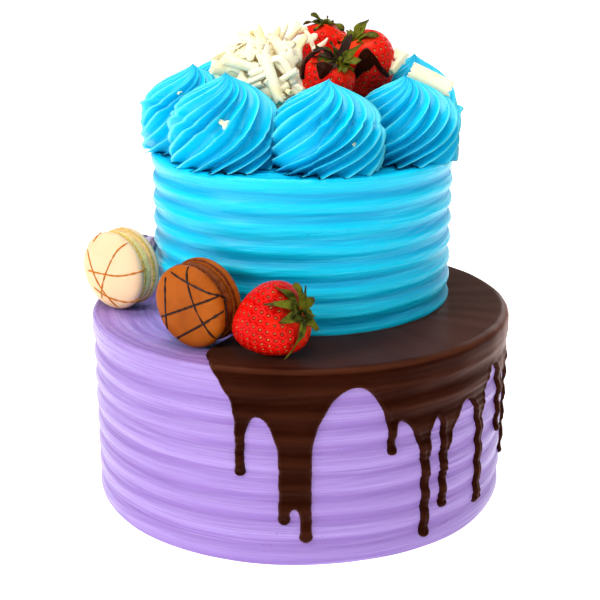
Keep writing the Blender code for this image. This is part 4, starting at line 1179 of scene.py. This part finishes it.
# Middle, azimuth and lean of the face in degrees, radius and thickness in mm
MACARONS = (
    ("cream", (-90.2, -6.2), -127.0, -1.5, 20.8, 19.0),
    ("chocolate", (-47.0, -66.8), -126.0, -5.0, 20.6, 20.5),
    ("mauve", (-80.8, 40.0), 163.0, 2.0, 12.4, 13.0),
)
# Share of that radius that the shells reach, inside their solids of 18 flat sides
SHELL_SHARE, CREAM_SHARE = 0.985, 0.96
MACARON_SECTORS = 18
FILLING_HALF = 2.0 * MM
SHELL_GAP = 0.15 * MM
INSIDE_ROWS, FOOT_ROWS, DOME_ROWS = 4, 14, 39
# Each one's colours: its shell dark and light, its foot, and its filling
MACARON_COLOURS = {
    "cream": ((0.76, 0.50, 0.27), (0.83, 0.58, 0.35), (0.78, 0.46, 0.09), (0.80, 0.52, 0.20)),
    "chocolate": ((0.27, 0.054, 0.002), (0.38, 0.086, 0.005), (0.12, 0.022, 0.004), (0.17, 0.036, 0.004)),
    "mauve": ((0.20, 0.15, 0.21), (0.30, 0.24, 0.31), (0.2, 0.14, 0.2), (0.4, 0.3, 0.4)),
}
# Drizzle: half width and colour of its threads, then each thread's places on the face, across and up
DRIZZLES = {
    "cream": (0.42, (0.40, 0.12, 0.004), (
        ((-14.7, 9.6), (-10.7, -1.9), (-5.7, -9.5), (4.1, -18.3)),
        ((11.5, 16.6), (5.6, 10.9), (-1.5, -0.2), (-5.3, -9.4), (-6.2, -15.5)),
        ((-15.0, -1.6), (-2.6, -1.5), (8.2, -0.4), (23.5, 4.4)),
        ((-11.4, -10.0), (-2.5, -13.2), (10.0, -14.0), (18.3, -12.2)),
        ((-6.9, 19.3), (-8.4, 16.6), (-10.1, 14.3)))),
    "chocolate": (0.52, (0.016, 0.004, 0.002), (
        ((-10.8, 13.9), (-11.7, 0.3), (-12.6, -13.1)),
        ((-8.1, 16.9), (7.7, 12.4), (23.7, 7.8)),
        ((1.4, 20.8), (6.2, 3.2), (15.4, -12.4)),
        ((-16.3, -7.2), (6.2, 3.2), (18.6, 9.0)),
        ((-8.0, -16.7), (10.1, -5.5), (20.9, 2.1)),
        ((22.0, 8.2), (22.3, 1.0), (22.0, -5.3)),
        ((15.1, -12.9), (16.9, -11.5), (18.6, -10.2)))),
    "mauve": (0.35, (0.05, 0.02, 0.02), (
        ((-9.0, 5.0), (0.0, 1.0), (9.0, -4.0)),
        ((-6.0, -9.0), (1.0, 0.0), (6.0, 9.0)))),
}


def macaron_frame(spot, azimuth, lean, radius, thick):
    """Middle of a macaron that stands on the ledge, and its directions: side, up and out of its face."""
    turn, tilt = math.radians(azimuth), math.radians(lean)
    face = np.array([math.cos(tilt) * math.cos(turn), math.cos(tilt) * math.sin(turn), math.sin(tilt)])
    side = np.cross((0.0, 0.0, 1.0), face)
    side /= np.linalg.norm(side)
    rise = radius * math.cos(math.pi / MACARON_SECTORS) * math.cos(tilt) + 0.3 * thick * abs(math.sin(tilt))
    middle = np.array([spot[0] * MM, spot[1] * MM, LOWER["height"] + (0.3 + rise) * MM])
    return middle, np.stack([side, np.cross(face, side), face])


def shell_profile(radius, half):
    """A shell's section from its flat inside to the middle of its dome, as radius, height and frill."""
    foot = np.linspace(0, 1, FOOT_ROWS)
    foot_radius = radius * (0.955 + 0.03 * np.sin(np.pi * foot))
    foot_level = FILLING_HALF + SHELL_GAP + foot * 2.5 * MM
    dome = np.linspace(0, np.pi / 2, DOME_ROWS + 1)[1:]
    dome_base = foot_level[-1]
    dome_radius = radius * np.cos(dome) ** 0.40
    dome_level = dome_base + (half - dome_base) * np.sin(dome) ** 0.70
    inside = np.linspace(0.5, 0.93, INSIDE_ROWS)
    out = np.concatenate([radius * inside, foot_radius, dome_radius])
    level = np.concatenate([np.full(INSIDE_ROWS, FILLING_HALF + SHELL_GAP), foot_level, dome_level])
    foot_frill = np.sin(np.pi * np.clip(foot * 1.05, 0, 1)) ** 0.5
    frill = np.concatenate([np.zeros(INSIDE_ROWS), foot_frill, np.zeros(DOME_ROWS)])
    return out[:-1], level[:-1], frill[:-1]


def drizzle(radius, half, half_width, threads, number):
    """Threads on a face, in the macaron's own frame: flat bars over the dome, then down its side."""
    out, level, _ = shell_profile(radius, half)
    dome = slice(INSIDE_ROWS + FOOT_ROWS, None)
    out, level = out[dome][::-1], level[dome][::-1]
    parts = []
    for k, knots in enumerate(threads):
        line = through(np.array(knots) * MM, 60)
        away = np.linalg.norm(line, axis=1)
        edge = 0.985 * radius
        line = line * (np.minimum(away, radius * 1.004) / np.maximum(away, 1e-9))[:, None]
        rise = np.interp(np.minimum(away, edge), out, level) - np.maximum(away - edge, 0) + 0.12 * MM
        path = np.column_stack([line, rise])
        step = np.linalg.norm(np.diff(path, axis=0), axis=1)
        place = np.concatenate([[0], np.cumsum(step)])
        even = np.linspace(0, place[-1], 56)
        path = np.column_stack([np.interp(even, place, path[:, i]) for i in range(3)])
        wide = half_width * MM * (1 + 0.28 * waves(600 + 10 * number + k, 5 * MM, even))
        wide *= np.sqrt(np.clip(1 - (2 * even / place[-1] - 1) ** 20, 0.05, 1))
        parts.append(bar(path, wide, 0.75 * wide, 8, up=(0.13, 0.07, 1.0)))
    return gathered(parts)


def macaron_finish(name):
    """A baked almond shell: satin, faintly mottled, its foot darker and full of bubbles."""
    finish = Finish(name + "_macaron_shell", {"Subsurface Weight": 0.08, "Subsurface Scale": 0.002,
                                              "Specular IOR Level": 0.07})
    low, high, foot, _ = MACARON_COLOURS[name]
    cloud = finish.noise(finish.place(), 60.0, 4)
    grain = finish.noise(finish.place(), 900.0, 3)
    frill = finish.field("frill")
    colour = finish.mixed(low, high, (cloud + grain * 0.2).eased(0.35, 0.75))
    colour = finish.mixed(colour, foot, (frill + grain * 0.5 - 0.3).eased(0.3, 0.9))
    finish.give(Base_Color=colour, Roughness=0.38 + 0.2 * grain)
    finish.bumped(grain * 0.25 + frill * grain * 2.0, 0.4 * MM, 0.8)
    return finish


def filling_finish(name):
    """Piped filling: soft, matt, a little grainy."""
    finish = Finish(name + "_macaron_filling", {"Roughness": 0.6, "Specular IOR Level": 0.08})
    grain = finish.noise(finish.place(), 500.0, 4)
    *_, dark = MACARON_COLOURS[name]
    light = tuple(min(1.0, 1.35 * value) for value in dark)
    finish.give(Base_Color=finish.mixed(dark, light, grain.eased(0.35, 0.65)))
    finish.bumped(grain, 0.4 * MM)
    return finish


def add_macaron(name, spot, azimuth, lean, radius, thick, number):
    """Two shells and the filling, each a turned skin; the frilled foot is ruffled by fine waves."""
    middle, axes = macaron_frame(spot, azimuth, lean, radius, thick)
    share = CREAM_SHARE if name == "cream" else SHELL_SHARE
    middle[2] -= (SHELL_SHARE - share) * radius * MM
    radius, half = share * radius * MM, thick * MM / 2
    angle = np.linspace(0, 2 * np.pi, 180, endpoint=False)[None, :]
    out, level, frill = (value[:, None] for value in shell_profile(radius, half))
    ring = radius * np.cos(angle), radius * np.sin(angle)
    finish = macaron_finish(name)
    shells = []
    for side, end in ((1, "face"), (-1, "back")):
        seed = number * 2 + side
        ruffle = 0.5 * MM * waves(400 + seed, 1.6 * MM, *ring, level)
        bulge = 0.12 * MM * waves(420 + seed, 14 * MM, out * np.cos(angle), out * np.sin(angle))
        reach = out + frill * ruffle + 0 * angle
        rise = side * (level + bulge * (frill == 0) + 0 * angle)
        local = np.stack([reach * np.cos(angle), reach * np.sin(angle), rise], -1)
        skin = closed_tube(middle + local @ axes)
        shells.append(add_piece(f"{name}_shell_{end}", *skin, finish, frill=ended(frill + 0 * angle)))
    rows = np.linspace(-1, 1, 7)[:, None]
    band = 0.93 * radius + 0.35 * MM * (1 - rows ** 2)
    band = band + 0.25 * MM * waves(440 + number, 5 * MM, *ring, rows * FILLING_HALF)
    rise = rows * (FILLING_HALF + 0.1 * MM) + 0 * angle
    cream = np.stack([band * np.cos(angle), band * np.sin(angle), rise], -1)
    shells.append(add_piece(f"{name}_cream_band", *closed_tube(middle + cream @ axes), filling_finish(name)))
    half_width, colour, threads = DRIZZLES[name]
    thread_finish = Finish(name + "_macaron_drizzle", {"Roughness": 0.3, "Specular IOR Level": 0.15})
    shade = thread_finish.noise(thread_finish.place(), 300.0)
    thread_finish.give(Base_Color=thread_finish.mixed(colour, tuple(1.5 * value for value in colour), shade))
    points, blocks = drizzle(radius, half, half_width, threads, number)
    shells.append(add_piece(f"{name}_drizzle", middle + points @ axes, blocks, thread_finish))
    return shells


for number, (name, *sizes) in enumerate(MACARONS):
    face, back, band, threads = add_macaron(name, *sizes, number)
    for piece, end in ((face, "face"), (back, "back"), (band, "filling")):
        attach(piece, "root")
        name + ("_filling" if end == "filling" else "_shell")
        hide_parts(f"{name}_macaron_{end}")
    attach(threads, "root")

# Floor, light and camera
# A plain pale floor that glows a little, so that it stays white under the soft lights. They stand at
# the left, the right, the front, above and behind, and the camera has the photograph's place.

FLOOR_HALF = 6.0
WORLD_STRENGTH = 0.26
CAMERA_PLACE = (0.52 * MM, -719.7 * MM, 323.4 * MM)
CAMERA_PITCH = 0.3031
CAMERA_LENS, SENSOR_WIDTH = 87.71, 36
floor_corners = [(x * FLOOR_HALF, y * FLOOR_HALF, 0) for x, y in ((-1, -1), (1, -1), (1, 1), (-1, 1))]
floor_mesh = bpy.data.meshes.new("floor")
floor_mesh.from_pydata(floor_corners, [], [(0, 1, 2, 3)])
floor = bpy.data.objects.new("floor", floor_mesh)
bpy.context.scene.collection.objects.link(floor)
pale = Finish("pale_floor", {"Roughness": 0.6})
pale_colour = pale.mixed((0.93, 0.93, 0.93), (0.96, 0.96, 0.96), pale.noise(pale.place(), 3.0))
pale.give(Base_Color=pale_colour, Emission_Color=pale_colour, Emission_Strength=0.78)
floor_mesh.materials.append(pale.material)


def add_light(name, place, target, size, power):
    """A square soft light that faces a target."""
    lamp = bpy.data.lights.new(name, "AREA")
    lamp.size = size
    lamp.energy = power
    light = bpy.data.objects.new(name, lamp)
    east, north, up = np.array(target) - np.array(place)
    tilt, turn = math.atan2(math.hypot(east, north), -up), math.atan2(north, east) - math.pi / 2
    light.location = place
    light.rotation_euler = (tilt, 0, turn)
    bpy.context.scene.collection.objects.link(light)


add_light("left_softbox", (-1.15, -0.85, 0.8), (0, 0, 0.14), 0.5, 12)
add_light("right_softbox", (1.1, -0.5, 1.25), (0, 0, 0.2), 0.4, 4)
add_light("front_softbox", (-0.2, -1.2, 1.35), (0, 0, 0.2), 0.4, 8)
add_light("top_softbox", (-0.15, 0.1, 1.4), (0, 0, 0.2), 0.6, 10)
add_light("back_softbox", (0.9, 1.5, 0.75), (0, 0, 0.12), 0.9, 8)

world = bpy.data.worlds.new("white_studio")
world.use_nodes = True
background = world.node_tree.nodes["Background"]
background.inputs["Color"].default_value = (1, 1, 1, 1)
background.inputs["Strength"].default_value = WORLD_STRENGTH
bpy.context.scene.world = world

camera = bpy.data.objects.new("camera", bpy.data.cameras.new("camera"))
camera.location = CAMERA_PLACE
camera.rotation_euler = (math.pi / 2 - CAMERA_PITCH, 0, 0)
camera.data.sensor_width = SENSOR_WIDTH
camera.data.lens = CAMERA_LENS
camera.data.clip_start = 0.01
bpy.context.scene.collection.objects.link(camera)
bpy.context.scene.camera = camera
bpy.context.scene.view_settings.view_transform = "Standard"
